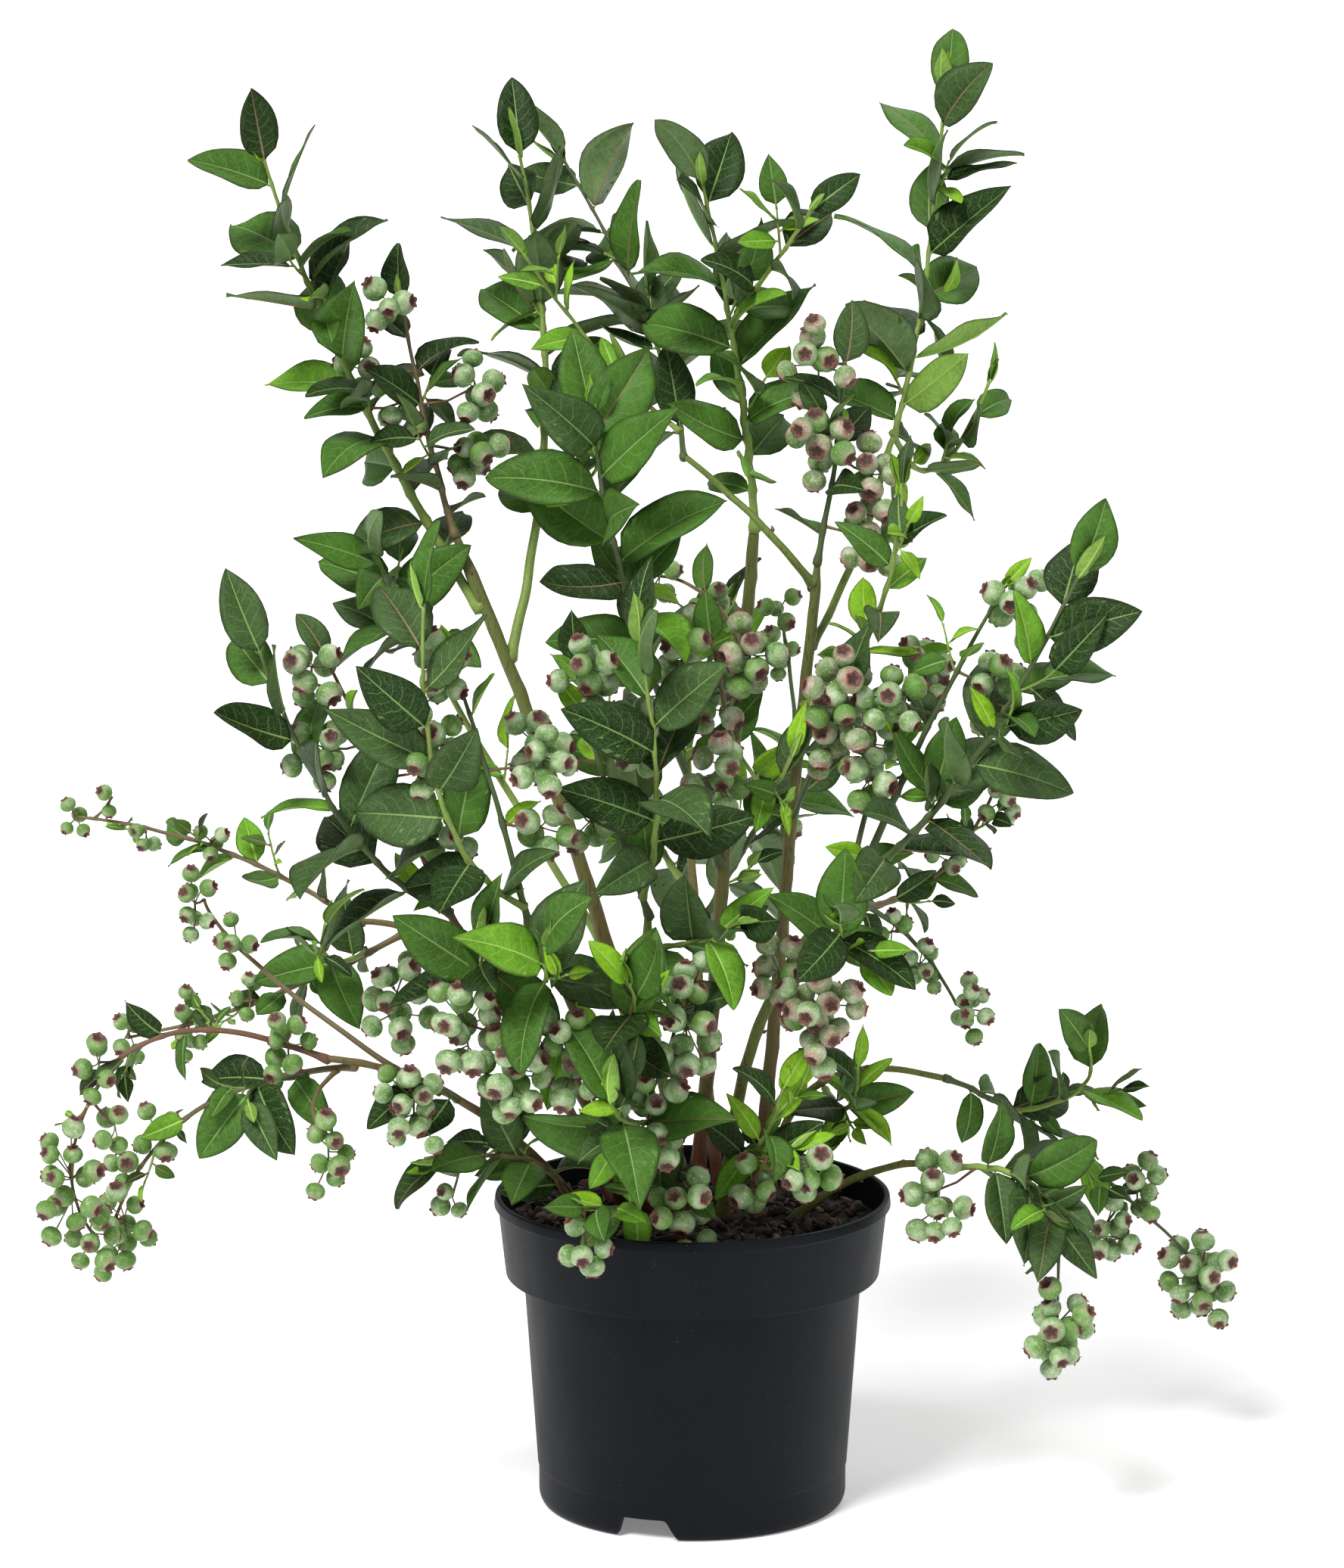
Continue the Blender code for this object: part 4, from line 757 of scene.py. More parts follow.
bunchShape = {
    "radius": 7.2,  # mm
    "sizes": (0.88, 1.1),
    "fuller": 1.32,  # berries for each one of the table
    "spacing": 0.93,  # of two berries' radii
    "free": 0.9,  # of a berry's radius, to the next leaf or twig
    "shells": 4,
    "firstShell": 1.25,  # in berry radii, from the hub
    "fewShell": 1.6,  # the same in a bunch of few
    "shellStep": 0.72,
    "fewBerries": 6,
    "places": (9, 1.6),  # at one radius, and the power by which they grow with the shell
    "placeSway": (0.94, 1.06),
    "hang": 0.04,  # a bunch gets longer downwards with each berry
    "mostHang": 1.5,
    "spurLeast": 3 * mm,  # berries keep off a longer spur by this angle
    "spurAngle": 0.5,
    "outward": 0.3,
    "towards": Vector((0, -0.2, -0.35)),
    "lean": 0.3,  # how much sooner the places on the outward side are taken
    "rankSway": 0.25,
}
looseBunch = {"fuller": 0.9, "spacing": 1.07, "hang": 0.1, "mostHang": 2.0}  # on thin arching twigs
berryRadius = {  # mm, where it isn't the usual one
    "left_upper_arch": 4.7, "left_mid_arch": 5.1, "left_long_arch": 6.0, "left_drop": 6.0,
    "left_rise": 5.4, "right_thin": 5.2, "right_upper_arch": 6.5, "right_low_arch": 6.9,
    "centre_fruit_back": 5.8, "right_fruit_back": 5.4, "low_left_leafy": 5.6, "low_left_under": 6.2,
    "crown_left_fruit": 6.8, "crown_left": 6.4, "rim_left": 6.8,
}
greenFruit = ("left_long_arch", "left_drop", "left_upper_arch", "left_mid_arch", "centre_fruit_back",
              "right_fruit_back", "left_rise")
blushFruit = ("centre_fruit", "right_fruit", "crown_right_fruit", "right_low_fruit")
berryList = []  # (x, y, z, radius) of every berry so far


# Even directions over a ball
def spokes(count, rng):
    found = []
    spin = rng.uniform(0, math.tau)
    for i in range(count):
        z = 1 - 2 * (i + 0.5) / count
        angle = spin + i * math.pi * (3 - math.sqrt(5))
        flat = math.sqrt(1 - z * z)
        found.append(Vector((flat * math.cos(angle), flat * math.sin(angle), z)))
    return found


# The places round a bunch's hub, the first to be taken first
def bunchPlaces(bunch, shape, radius, count, rng):
    hub = bunch["hub"]
    hang = min(1 + count * shape["hang"], shape["mostHang"])
    first = shape["fewShell" if count <= shape["fewBerries"] else "firstShell"]
    towards = Vector((hub.x, hub.y - 0.1, 0)).normalized() * shape["outward"] + shape["towards"]
    spur = bunch["start"] - hub
    most, power = shape["places"]
    places = []
    for shell in range(shape["shells"]):
        reach = first + shape["shellStep"] * shell
        for aim in spokes(round(most * reach ** power), rng):
            if spur.length > shape["spurLeast"] and aim.angle(spur) < shape["spurAngle"]:
                continue
            sway = rng.uniform(*shape["placeSway"])
            offset = Vector((aim.x, aim.y, aim.z * hang)) * reach * radius * sway
            rank = reach * (1 - shape["lean"] * aim.dot(towards)) + rng.uniform(0, shape["rankSway"])
            places.append((rank, hub + offset, aim))
    places.sort(key=lambda place: place[0])
    return places


# Fills the room round a bunch's hub like grapes
def placeBerries(name, bunch, blocked):
    shape = {**bunchShape, **(looseBunch if name in greenFruit else {})}
    rng = random.Random(bunch["seed"] + " berries")
    usual = berryRadius.get(name, shape["radius"]) * mm
    count = round(bunch["count"] * shape["fuller"])
    berries = []
    for _, spot, aim in bunchPlaces(bunch, shape, usual, count, rng):
        if len(berries) >= count:
            break
        radius = usual * rng.uniform(*shape["sizes"])
        if berryList:
            others = np.array(berryList)
            apart = np.linalg.norm(others[:, :3] - np.array(spot), axis=1)
            if (apart < shape["spacing"] * (others[:, 3] + radius)).any():
                continue
        if blocked.find_nearest(spot, radius * shape["free"])[0] is not None:
            continue
        berryList.append((*spot, radius))
        berries.append((spot, radius, aim))
        crowd.add(name, *ball(spot, radius))
    return berries


# One search tree of all that the berries keep clear of
def berryBlockers():
    meshes = [path.rods() for path in limbPaths.values()] + [solidMesh(name) for name in potParts]
    for plant in plants.values():
        meshes += [path.rods() for path in plant["paths"]]
        meshes += [plainLeaf(leaf["base"], leaf["aim"], leaf["face"], leaf["length"])
                   for leaf in plant["leaves"] if leaf]
    verts = []
    faces = []
    for points, sides in meshes:
        faces += [tuple(k + len(verts) for k in face) for face in sides]
        verts += points
    return BVHTree.FromPolygons(verts, faces)


def growFruit():
    blocked = berryBlockers()
    for name, plant in plants.items():
        for bunch in plant["bunches"]:
            bunch["berries"] = placeBerries(name, bunch, blocked)


growFruit()
growFinerParts()
print("grown:", sum(len(p["leaves"]) for p in plants.values()), "leaves,",
      sum(len(p["shoots"]) for p in plants.values()), "side shoots,", len(berryList), "berries")


# Shared helpers for meshes

def addObject(name, data):
    made = bpy.data.objects.new(name, data)
    bpy.context.scene.collection.objects.link(made)
    return made


class Heap:
    # Vertices, faces, finishes and map points of one joined piece
    def __init__(self):
        self.points = []
        self.faces = []
        self.slots = []
        self.spots = []
        self.count = 0

    def add(self, points, faces, slots, spots=None):
        points = np.asarray(points, float).reshape(-1, 3)
        self.points.append(points)
        self.faces += [tuple(k + self.count for k in face) for face in faces]
        self.slots += [slots] * len(faces) if isinstance(slots, int) else list(slots)
        self.spots.append(np.zeros((len(points), 2)) if spots is None else np.asarray(spots, float))
        self.count += len(points)

    def make(self, name, finishes, flat=False):
        mesh = bpy.data.meshes.new(name)
        mesh.from_pydata(np.concatenate(self.points).tolist(), [], self.faces)
        for finish in finishes:
            mesh.materials.append(finish)
        mesh.polygons.foreach_set("material_index", np.array(self.slots, np.int32))
        corners = np.empty(len(mesh.loops), np.int32)
        mesh.loops.foreach_get("vertex_index", corners)
        layer = mesh.uv_layers.new(name="growthMap")
        layer.data.foreach_set("uv", np.concatenate(self.spots)[corners].astype(np.float32).ravel())
        if not flat:
            mesh.shade_smooth()
        print(name, sum(len(face) - 2 for face in self.faces), "triangles")
        return addObject(name, mesh)


# A smooth tube round the centres, with a rounded end. "relief" adds to each point's radius.
def fineTube(centres, radii, sides, relief=None, capLength=0.7):
    centres = np.asarray([tuple(c) for c in centres])
    radii = np.asarray(radii, float)
    aims = np.gradient(centres, axis=0)
    aims /= np.linalg.norm(aims, axis=1)[:, None]
    side = np.cross(aims[0], sideHint)
    frames = []
    for aim in aims:
        side = side - aim * side.dot(aim)
        side /= np.linalg.norm(side)
        frames.append((side, np.cross(aim, side)))
    angles = np.arange(sides) * math.tau / sides
    rings = np.array([np.outer(np.cos(angles), a) + np.outer(np.sin(angles), b) for a, b in frames])
    reach = radii[:, None] + (0 if relief is None else relief)
    points = centres[:, None] + rings * reach[..., None]
    tips = [centres[0] - aims[0] * radii[0] * capLength, centres[-1] + aims[-1] * radii[-1] * capLength]
    points = np.concatenate([points.reshape(-1, 3), tips])
    faces = []
    for i in range(len(centres) - 1):
        for k in range(sides):
            n = (k + 1) % sides
            faces.append((i * sides + k, i * sides + n, (i + 1) * sides + n, (i + 1) * sides + k))
    end = (len(centres) - 1) * sides
    start = len(centres) * sides
    for k in range(sides):
        n = (k + 1) % sides
        faces.append((n, k, start))
        faces.append((end + k, end + n, start + 1))
    return points, faces


def curvePoints(path, count):
    u = np.linspace(0, 1, count)[:, None]
    root, pull, tip = (np.array(p) for p in (path.root, path.pull, path.tip))
    return root * (1 - u) ** 2 + pull * 2 * u * (1 - u) + tip * u ** 2


def smoothStep(x):
    x = np.clip(x, 0, 1)
    return x * x * (3 - 2 * x)


# Materials: helpers and the node groups that several finishes use

# Links a socket to another, or gives it a number or a colour
def fill(tree, socket, value):
    if isinstance(value, bpy.types.NodeSocket):
        tree.links.new(value, socket)
    else:
        socket.default_value = (*value[:3], 1) if isinstance(value, tuple) else value


def addNode(tree, kind, inputs=None, **settings):
    made = tree.nodes.new(kind)
    for key, value in settings.items():
        setattr(made, key, value)
    for key, value in (inputs or {}).items():
        fill(tree, made.inputs[key], value)
    return made


def maths(tree, operation, a, b=0.0):
    return addNode(tree, "ShaderNodeMath", {0: a, 1: b}, operation=operation).outputs[0]


def plus(tree, a, b):
    return maths(tree, "ADD", a, b)


def minus(tree, a, b):
    return maths(tree, "SUBTRACT", a, b)


def times(tree, a, b):
    return maths(tree, "MULTIPLY", a, b)


def rescale(tree, value, fromLow, fromHigh, toLow, toHigh, smooth=False):
    inputs = {"Value": value, "From Min": fromLow, "From Max": fromHigh, "To Min": toLow, "To Max": toHigh}
    kind = "SMOOTHSTEP" if smooth else "LINEAR"
    return addNode(tree, "ShaderNodeMapRange", inputs, interpolation_type=kind).outputs["Result"]


def blendColours(tree, share, first, second):
    factor, a, b, result = 0, 6, 7, 2  # the node's sockets for colours
    inputs = {factor: share, a: first, b: second}
    return addNode(tree, "ShaderNodeMix", inputs, data_type="RGBA").outputs[result]


def objectPlace(tree):
    return addNode(tree, "ShaderNodeTexCoord").outputs["Object"]


def mapPlace(tree):  # across a leaf or round a berry, then from its foot to its tip
    return addNode(tree, "ShaderNodeUVMap", uv_map="growthMap").outputs[0]


def apart(tree, place):
    return addNode(tree, "ShaderNodeSeparateXYZ", {0: place}).outputs


def joined(tree, x, y, z=0.0):
    return addNode(tree, "ShaderNodeCombineXYZ", {0: x, 1: y, 2: z}).outputs[0]


def newGroup(name, inputs, outputs):
    group = bpy.data.node_groups.new(name, "ShaderNodeTree")
    for label, value in inputs.items():
        kind = "NodeSocketColor" if isinstance(value, tuple) else "NodeSocketFloat"
        group.interface.new_socket(label, in_out="INPUT", socket_type=kind).default_value = value
    for label in outputs:
        kind = "NodeSocketColor" if label == "Colour" else "NodeSocketFloat"
        group.interface.new_socket(label, in_out="OUTPUT", socket_type=kind)
    return group, group.nodes.new("NodeGroupInput").outputs, group.nodes.new("NodeGroupOutput").inputs


# Places a group with its values and returns its outputs
def grouped(tree, name, **values):
    made = addNode(tree, "ShaderNodeGroup", node_tree=bpy.data.node_groups[name])
    for key, value in values.items():
        fill(tree, made.inputs[key.replace("_", " ")], value)
    return made.outputs


# Speckle of one scale, as a value about 0.5 that is fit for bumps, roughness and tints
def makeSpeckle():
    group, given, out = newGroup("speckle", {"Scale": 200.0, "Detail": 4.0, "Stretch": 1.0}, ["Value"])
    x, y, z = apart(group, objectPlace(group))
    noise = addNode(group, "ShaderNodeTexNoise", {
        "Vector": joined(group, x, y, times(group, z, given["Stretch"])), "Scale": given["Scale"],
        "Detail": given["Detail"], "Roughness": 0.55,
    })
    fill(group, out["Value"], rescale(group, noise.outputs[0], 0.28, 0.72, 0, 1))


# A colour made a little lighter and darker by broad patches and fine mottling
def makeTint():
    group, given, out = newGroup("tint", {"Colour": (0.5, 0.5, 0.5, 1), "Amount": 0.2, "Patch Scale": 22.0,
                                          "Mottle Scale": 260.0}, ["Colour"])
    patch = grouped(group, "speckle", Scale=given["Patch Scale"])["Value"]
    mottle = grouped(group, "speckle", Scale=given["Mottle Scale"])["Value"]
    both = plus(group, times(group, patch, 0.6), times(group, mottle, 0.4))
    swing = times(group, minus(group, both, 0.5), given["Amount"])
    gain = plus(group, times(group, swing, 2.0), 1.0)
    scaled = addNode(group, "ShaderNodeVectorMath", {0: given["Colour"], 1: gain}, operation="MULTIPLY")
    fill(group, out["Colour"], scaled.outputs[0])


veinPattern = {
    "stagger": 0.35,  # of the space between two side veins, from one half of a leaf to the other
    "driftScale": 70.0,
    "fade": (0.45, 0.98),  # of the way to the margin
    "netScale": (9.0, 22.0, 1.6),  # across, along and in all
    "netWidth": 0.12,
    "netDepth": 0.6,
    "netShare": 0.7,
    "sideDepth": 0.7,
    "marginFrom": 0.86,
}


# The net of side veins on a leaf, from its map: across at X, base to tip at Y
def makeVeinNet():
    pattern = veinPattern
    group, given, out = newGroup("veinNet", {"Side Veins": 7.0, "Width": 0.1, "Wobble": 0.4},
                                 ["Mask", "Height", "Edge"])
    x, y, _ = apart(group, mapPlace(group))
    across = times(group, maths(group, "ABSOLUTE", minus(group, x, 0.5)), 2.0)
    shift = times(group, maths(group, "GREATER_THAN", x, 0.5), pattern["stagger"])
    steps = plus(group, times(group, y, given["Side Veins"]), shift)
    drift = grouped(group, "speckle", Scale=pattern["driftScale"], Detail=1.0)["Value"]
    drift = times(group, minus(group, drift, 0.5), given["Wobble"])
    away = maths(group, "PINGPONG", plus(group, steps, drift), 0.5)
    line = rescale(group, away, 0.0, given["Width"], 1.0, 0.0, True)
    side = times(group, line, rescale(group, across, *pattern["fade"], 1, 0, True))
    acrossScale, alongScale, scale = pattern["netScale"]
    place = joined(group, times(group, x, acrossScale), times(group, y, alongScale))
    cells = addNode(group, "ShaderNodeTexVoronoi", {"Vector": place, "Scale": scale},
                    feature="DISTANCE_TO_EDGE").outputs["Distance"]
    net = rescale(group, cells, 0.0, pattern["netWidth"], pattern["netDepth"], 0, True)
    fill(group, out["Mask"], maths(group, "MAXIMUM", side, times(group, net, pattern["netShare"])))
    # Edge: how near the margin is, where the leaf's finish paints shade
    fill(group, out["Edge"], rescale(group, across, pattern["marginFrom"], 1.0, 0, 1, True))
    sunk = plus(group, times(group, side, pattern["sideDepth"]), net)
    fill(group, out["Height"], minus(group, 1.0, sunk))


for make in (makeSpeckle, makeTint, makeVeinNet):
    make()


def newFinish(name, roughness, specular=0.5):
    finish = bpy.data.materials.new(name)
    finish.use_nodes = True
    shader = finish.node_tree.nodes["Principled BSDF"]
    shader.inputs["Roughness"].default_value = roughness
    shader.inputs["Specular IOR Level"].default_value = specular
    return finish, finish.node_tree, shader


# Gives a shader its colour, its roughness and a bump as strong and deep as told
def coverWith(tree, shader, skin, roughness, height, strength, depth):
    fill(tree, shader.inputs["Base Color"], skin)
    fill(tree, shader.inputs["Roughness"], roughness)
    bump = addNode(tree, "ShaderNodeBump", {"Height": height, "Strength": strength, "Distance": depth})
    fill(tree, shader.inputs["Normal"], bump.outputs[0])


# Plain finish with mottled colour and a fine bump, for wood, fruit and mulch
def mottled(name, base, roughness, amount=0.2, patch=22.0, mottle=260.0, grain=900.0, depth=0.1 * mm,
            specular=0.5):
    finish, tree, shader = newFinish(name, roughness, specular)
    tint = grouped(tree, "tint", Colour=base, Amount=amount, Patch_Scale=patch, Mottle_Scale=mottle)
    grains = grouped(tree, "speckle", Scale=grain)["Value"]
    gloss = rescale(tree, grains, 0, 1, roughness - 0.07, roughness + 0.09)
    coverWith(tree, shader, tint["Colour"], gloss, grains, 0.5, depth)
    return finish


# Leaves

leafTones = {  # upper side, from the oldest to the youngest; the deepest is partly painted shade, as dark as leaves that lie in shade
    "leafDeep": (0.010, 0.031, 0.006),
    "leafDull": (0.041, 0.083, 0.024),
    "leafMid": (0.050, 0.135, 0.015),
    "leafBright": (0.118, 0.300, 0.018),
    "leafYoung": (0.210, 0.430, 0.014),
}
moods = ((4, 3, 2, 0), (2, 2, 4, 1), (1, 1, 4, 2))  # how often a spray has each of the first four tones
leafLook = {
    "veinPale": (0.190, 0.300, 0.085),
    "veinYoung": (0.330, 0.520, 0.100),
    "veinRed": (0.230, 0.160, 0.080),
    "underDull": (0.100, 0.165, 0.062),
    "underBright": (0.190, 0.340, 0.060),
    # edge and its share: painted shade, the leaf made darker towards its margin
    "edge": (0.030, 0.036, 0.012),
    "marginShadeShare": 0.6,
    "sideVeins": 7.5,
    "veinWidth": 0.07,
    "veinWobble": 0.5,
    "veinShare": 0.48,
    "largest": 38 * mm,  # longer leaves are seldom bright
    "seldom": 0.2,
    "tintAmount": 0.55,
    "roughness": (0.36, 0.54),
    "specular": 0.13,
    "bump": (0.55, 0.25 * mm),
}
bladeShape = {
    "grids": {"large": (13, (0.3, 0.66, 1.0)), "small": (8, (0.5, 1.0))},  # rows, columns from the midrib
    "smallBelow": 27 * mm,
    "rowDrift": 1.12,  # the rows stand closer near the foot
    "width": (0.46, 0.63),
    "youngWidth": (0.36, 0.52),
    "lengthen": 1.05,
    "baseRound": 0.60,
    "tipRound": (0.78, 1.15),
    "leastHalf": (0.55 * mm, 0.12 * mm),
    "sweep": 0.24,
    "roll": 0.75,  # turn about the midrib, either way, of a leaf that lies loosely
    "rollShare": 0.6,
    "fold": (0.14, 0.85),
    "bend": (0.05, 0.95),
    "upwardShare": 0.15,
    "curlFold": (0.5, 0.85),
    "curlBend": (0.3, 1.3),
    "twist": 0.45,
    "wave": 0.085,
    "waves": 9,
    "waveShift": 1.3,
    "quilt": 0.007,
    "thick": 0.34 * mm,
    "ribHalf": (0.62 * mm, 0.16 * mm),
    "ribShare": (0.02, 0.22),
    "ribDepth": 0.55 * mm,
    "groove": 0.2 * mm,
    "stalk": 2.6 * mm,
    "stalkRadius": 0.62 * mm,
    "stalkTaper": (1.35, 1, 0.85),
    "stalkSides": 6,
    "stalkOverlap": 1.2 * mm,
}
slotNames = [*leafTones, "veinPale", "veinYoung", "veinRed", "underDull", "underBright"]


def makeLeafFinish(name):
    look = leafLook
    if name.startswith("vein"):
        return mottled(name, look[name], 0.45, amount=0.16, specular=0.35)
    bright = name in ("leafBright", "leafYoung", "underBright")
    finish, tree, shader = newFinish(name, 0.44, look["specular"])
    tint = grouped(tree, "tint", Colour=leafTones.get(name) or look[name], Amount=look["tintAmount"],
                   Patch_Scale=34.0, Mottle_Scale=420.0)
    net = grouped(tree, "veinNet", Side_Veins=look["sideVeins"], Width=look["veinWidth"],
                  Wobble=look["veinWobble"])
    share = times(tree, net["Mask"], look["veinShare"])
    skin = blendColours(tree, share, tint["Colour"], look["veinYoung" if bright else "veinPale"])
    # Painted shade: the skin turns darker towards the leaf's margin
    skin = blendColours(tree, times(tree, net["Edge"], look["marginShadeShare"]), skin, look["edge"])
    grains = grouped(tree, "speckle", Scale=1400.0)["Value"]
    height = plus(tree, net["Height"], times(tree, grains, 0.25))
    coverWith(tree, shader, skin, rescale(tree, grains, 0, 1, *look["roughness"]), height, *look["bump"])
    return finish


def outline(v, tipRound):
    baseRound = bladeShape["baseRound"]
    top = baseRound / (baseRound + tipRound)
    peak = top ** baseRound * (1 - top) ** tipRound
    return np.clip(v, 0, 1) ** baseRound * np.clip(1 - v, 0, 1) ** tipRound / peak


# The blade's faces are the same on every leaf: upper side, under side and rim
def bladeFaces(rows, columns):
    wide = 2 * len(columns) + 3
    under = (rows + 1) * wide
    middle = wide // 2
    faces = []
    kinds = []  # 0 blade, 1 midrib, 2 under side, 3 rib below, 4 rim
    for i in range(rows):
        for j in range(wide - 1):
            a = i * wide + j
            quad = (a, a + wide, a + wide + 1, a + 1)
            isRib = j in (middle - 1, middle)
            faces.append(quad)
            kinds.append(1 if isRib else 0)
            faces.append(tuple(k + under for k in quad[::-1]))
            kinds.append(3 if isRib else 2)
    ring = [i * wide for i in range(rows + 1)]
    ring += [rows * wide + j for j in range(1, wide)]
    ring += [i * wide + wide - 1 for i in range(rows - 1, -1, -1)]
    ring += [j for j in range(wide - 2, 0, -1)]
    for a, b in zip(ring, ring[1:] + ring[:1]):
        faces.append((b, a, a + under, b + under))
        kinds.append(4)
    return faces, np.array(kinds)


def bladePoints(leaf, rng, rows, columns):
    shape = bladeShape
    curls = leaf["curls"]
    length = leaf["length"] * shape["lengthen"] - shape["stalk"]
    half = length * rng.uniform(*shape["youngWidth" if leaf["young"] else "width"]) / 2
    tipRound = rng.uniform(*shape["tipRound"])
    t = (np.linspace(0, 1, rows + 1) ** shape["rowDrift"])[:, None]  # from the foot to the tip
    ribFoot, ribTip = shape["ribHalf"]
    ribHalf = ribFoot * (1 - t) + ribTip * t
    rib = np.clip(ribHalf / (half * outline(t, tipRound) + 0.1 * mm), *shape["ribShare"])
    outer = np.ones_like(t) * np.array(columns)
    u = np.hstack([-outer[:, ::-1], -rib, 0 * t, rib, outer])  # from one margin to the other
    middle = u.shape[1] // 2
    v = t + shape["sweep"] * (0.35 * np.abs(u) + 0.65 * u ** 2) * 4 * t * (1 - t)
    leastFoot, leastTip = shape["leastHalf"]
    x = u * np.maximum(half * outline(v, tipRound), leastFoot * (1 - t) + leastTip)
    fold = rng.uniform(*shape["curlFold" if curls else "fold"])
    z = fold * np.abs(x) * (1 - 0.4 * np.abs(u))
    phase = rng.uniform(0, math.tau)
    z += shape["wave"] * half * np.sin(v * shape["waves"] + phase + shape["waveShift"] * np.sign(u)) * u ** 2
    ripple = np.cos(math.tau * t ** (1 / shape["rowDrift"]) * rows / 2)
    z -= (shape["quilt"] * length * ripple * (1 - np.abs(u)) * np.minimum(np.abs(u) * 4, 1)
          * 4 * t * (1 - t))
    z[:, middle] -= shape["groove"]
    twist = rng.uniform(-shape["twist"], shape["twist"]) * v
    x, z = x * np.cos(twist) - z * np.sin(twist), x * np.sin(twist) + z * np.cos(twist)
    upward = curls or rng.random() < shape["upwardShare"]
    bend = rng.uniform(*shape["curlBend" if curls else "bend"]) * (-1 if upward else 1)
    lower = z - shape["thick"]
    lower[:, middle] -= (shape["ribDepth"] * (1 - t))[:, 0]
    roll = rng.uniform(-shape["roll"], shape["roll"]) if rng.random() < shape["rollShare"] else 0
    aim = np.array(leaf["aim"])
    sideways = np.array(leaf["face"].cross(leaf["aim"]))
    face = np.array(leaf["face"]) * math.cos(roll) + sideways * math.sin(roll)
    side = np.cross(face, aim)
    base = np.array(leaf["base"]) + np.array(leaf["shift"]) + aim * shape["stalk"]
    layers = []
    for level in (z, lower):
        angle = bend * v
        ahead = length * np.sin(angle) / bend + level * np.sin(angle)
        above = level * np.cos(angle) - length * (1 - np.cos(angle)) / bend
        spots = base + ahead[..., None] * aim + above[..., None] * face + x[..., None] * side
        layers.append(spots.reshape(-1, 3))
    spots = np.stack([0.5 + 0.5 * u, t + 0 * u], -1).reshape(-1, 2)
    return np.concatenate(layers), np.concatenate([spots, spots])


blades = {size: (*bladeFaces(*grid), grid) for size, grid in bladeShape["grids"].items()}


# Deals a leaf its tone by the mood of its spray, and names the finish of each kind of face
def leafSlots(leaf, kinds, rng):
    isLarge = leaf["length"] > leafLook["largest"]
    deep, dull, mid, bright, young = range(len(leafTones))
    if leaf["young"]:
        tone = rng.choice((mid, bright, bright) if isLarge else (bright, young, young))
    else:
        mood = random.Random(leaf["seed"].split(" leaf")[0] + " tone").choice(moods)
        tone = rng.choices((deep, dull, mid, bright), mood)[0]
        if tone == bright and isLarge and rng.random() < 1 - leafLook["seldom"]:
            tone = mid
    if tone >= bright:
        names = (slotNames[tone], "veinYoung", "underBright", "veinYoung", "leafMid")
    else:
        vein = rng.choice(("veinPale",) * 5 + ("veinRed",))
        # The rim of a duller leaf takes the deepest tone, which is partly painted shade
        names = (slotNames[tone], vein, "underDull", vein, "leafDeep")
    return np.array([slotNames.index(name) for name in names])[kinds]


def addLeaf(heap, leaf):
    shape = bladeShape
    rng = random.Random(leaf["seed"] + " blade")
    path = leaf["path"]
    leaf["shift"] = path.curve(leaf["share"]) - path.chord(leaf["share"])
    quads, kinds, grid = blades["small" if leaf["length"] < shape["smallBelow"] else "large"]
    points, spots = bladePoints(leaf, rng, *grid)
    slots = leafSlots(leaf, kinds, rng)
    heap.add(points, quads, slots, spots)
    start = path.curve(leaf["share"]) - path.along(leaf["share"]) * growth["sunk"]
    foot = leaf["base"] + leaf["shift"] + leaf["aim"] * (shape["stalk"] + shape["stalkOverlap"])
    middle = start.lerp(foot, 0.55) - leaf["face"] * 0.3 * mm
    centres = [start, middle, foot - leaf["face"] * 0.25 * mm]
    radii = [shape["stalkRadius"] * k for k in shape["stalkTaper"]]
    heap.add(*fineTube(centres, radii, shape["stalkSides"]), int(slots[kinds == 1][0]))


# Joined pieces by where a mass is, so that each stays well under the export's size
regionEdges = {"backBehind": 0.1, "backBelow": 0.6, "backWithin": 0.1, "crownAbove": 0.56,
               "leftOf": -0.14, "rightOf": 0.07}


def regionOf(name):
    edges = regionEdges
    tip = plants[name]["paths"][0].tip
    if tip.y > edges["backBehind"] and tip.z < edges["backBelow"] and abs(tip.x) < edges["backWithin"]:
        return "Back"
    if tip.z > edges["crownAbove"]:
        return "Crown"
    if tip.x < edges["leftOf"]:
        return "Left"
    return "Right" if tip.x > edges["rightOf"] else "Middle"


regions = {}
for name in masses:
    regions.setdefault(regionOf(name), []).append(name)


def dress(piece, replaced=()):
    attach(piece, "root")
    if replaced:
        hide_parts(*replaced)


leafFinishes = [makeLeafFinish(name) for name in slotNames]
for region, names in regions.items():
    heap = Heap()
    for name in names:
        for leaf in plants[name]["leaves"]:
            addLeaf(heap, leaf)
    dress(heap.make("leaves" + region, leafFinishes), names)


# Twigs, side shoots and fruit stalks

twigTones = {
    "twigBrown": (0.135, 0.098, 0.038),
    "twigOlive": (0.062, 0.095, 0.026),
    "twigGreen": (0.185, 0.275, 0.050),
    "stalkRed": (0.150, 0.070, 0.038),
}
twigShape = {
    "ring": 2.6 * mm,
    "leastRings": 6,
    "sides": 8,
    "swell": 0.32,  # of the radius, at a leaf's foot
    "swellReach": 2.4 * mm,
    "zigzag": 0.5 * mm,
    "fullZigzag": 80 * mm,  # a shorter twig sways less
    "flare": 0.55,
    "flareReach": 3 * mm,
    "rootDepth": 3 * mm,
    "forkDepth": 0.5 * mm,
}


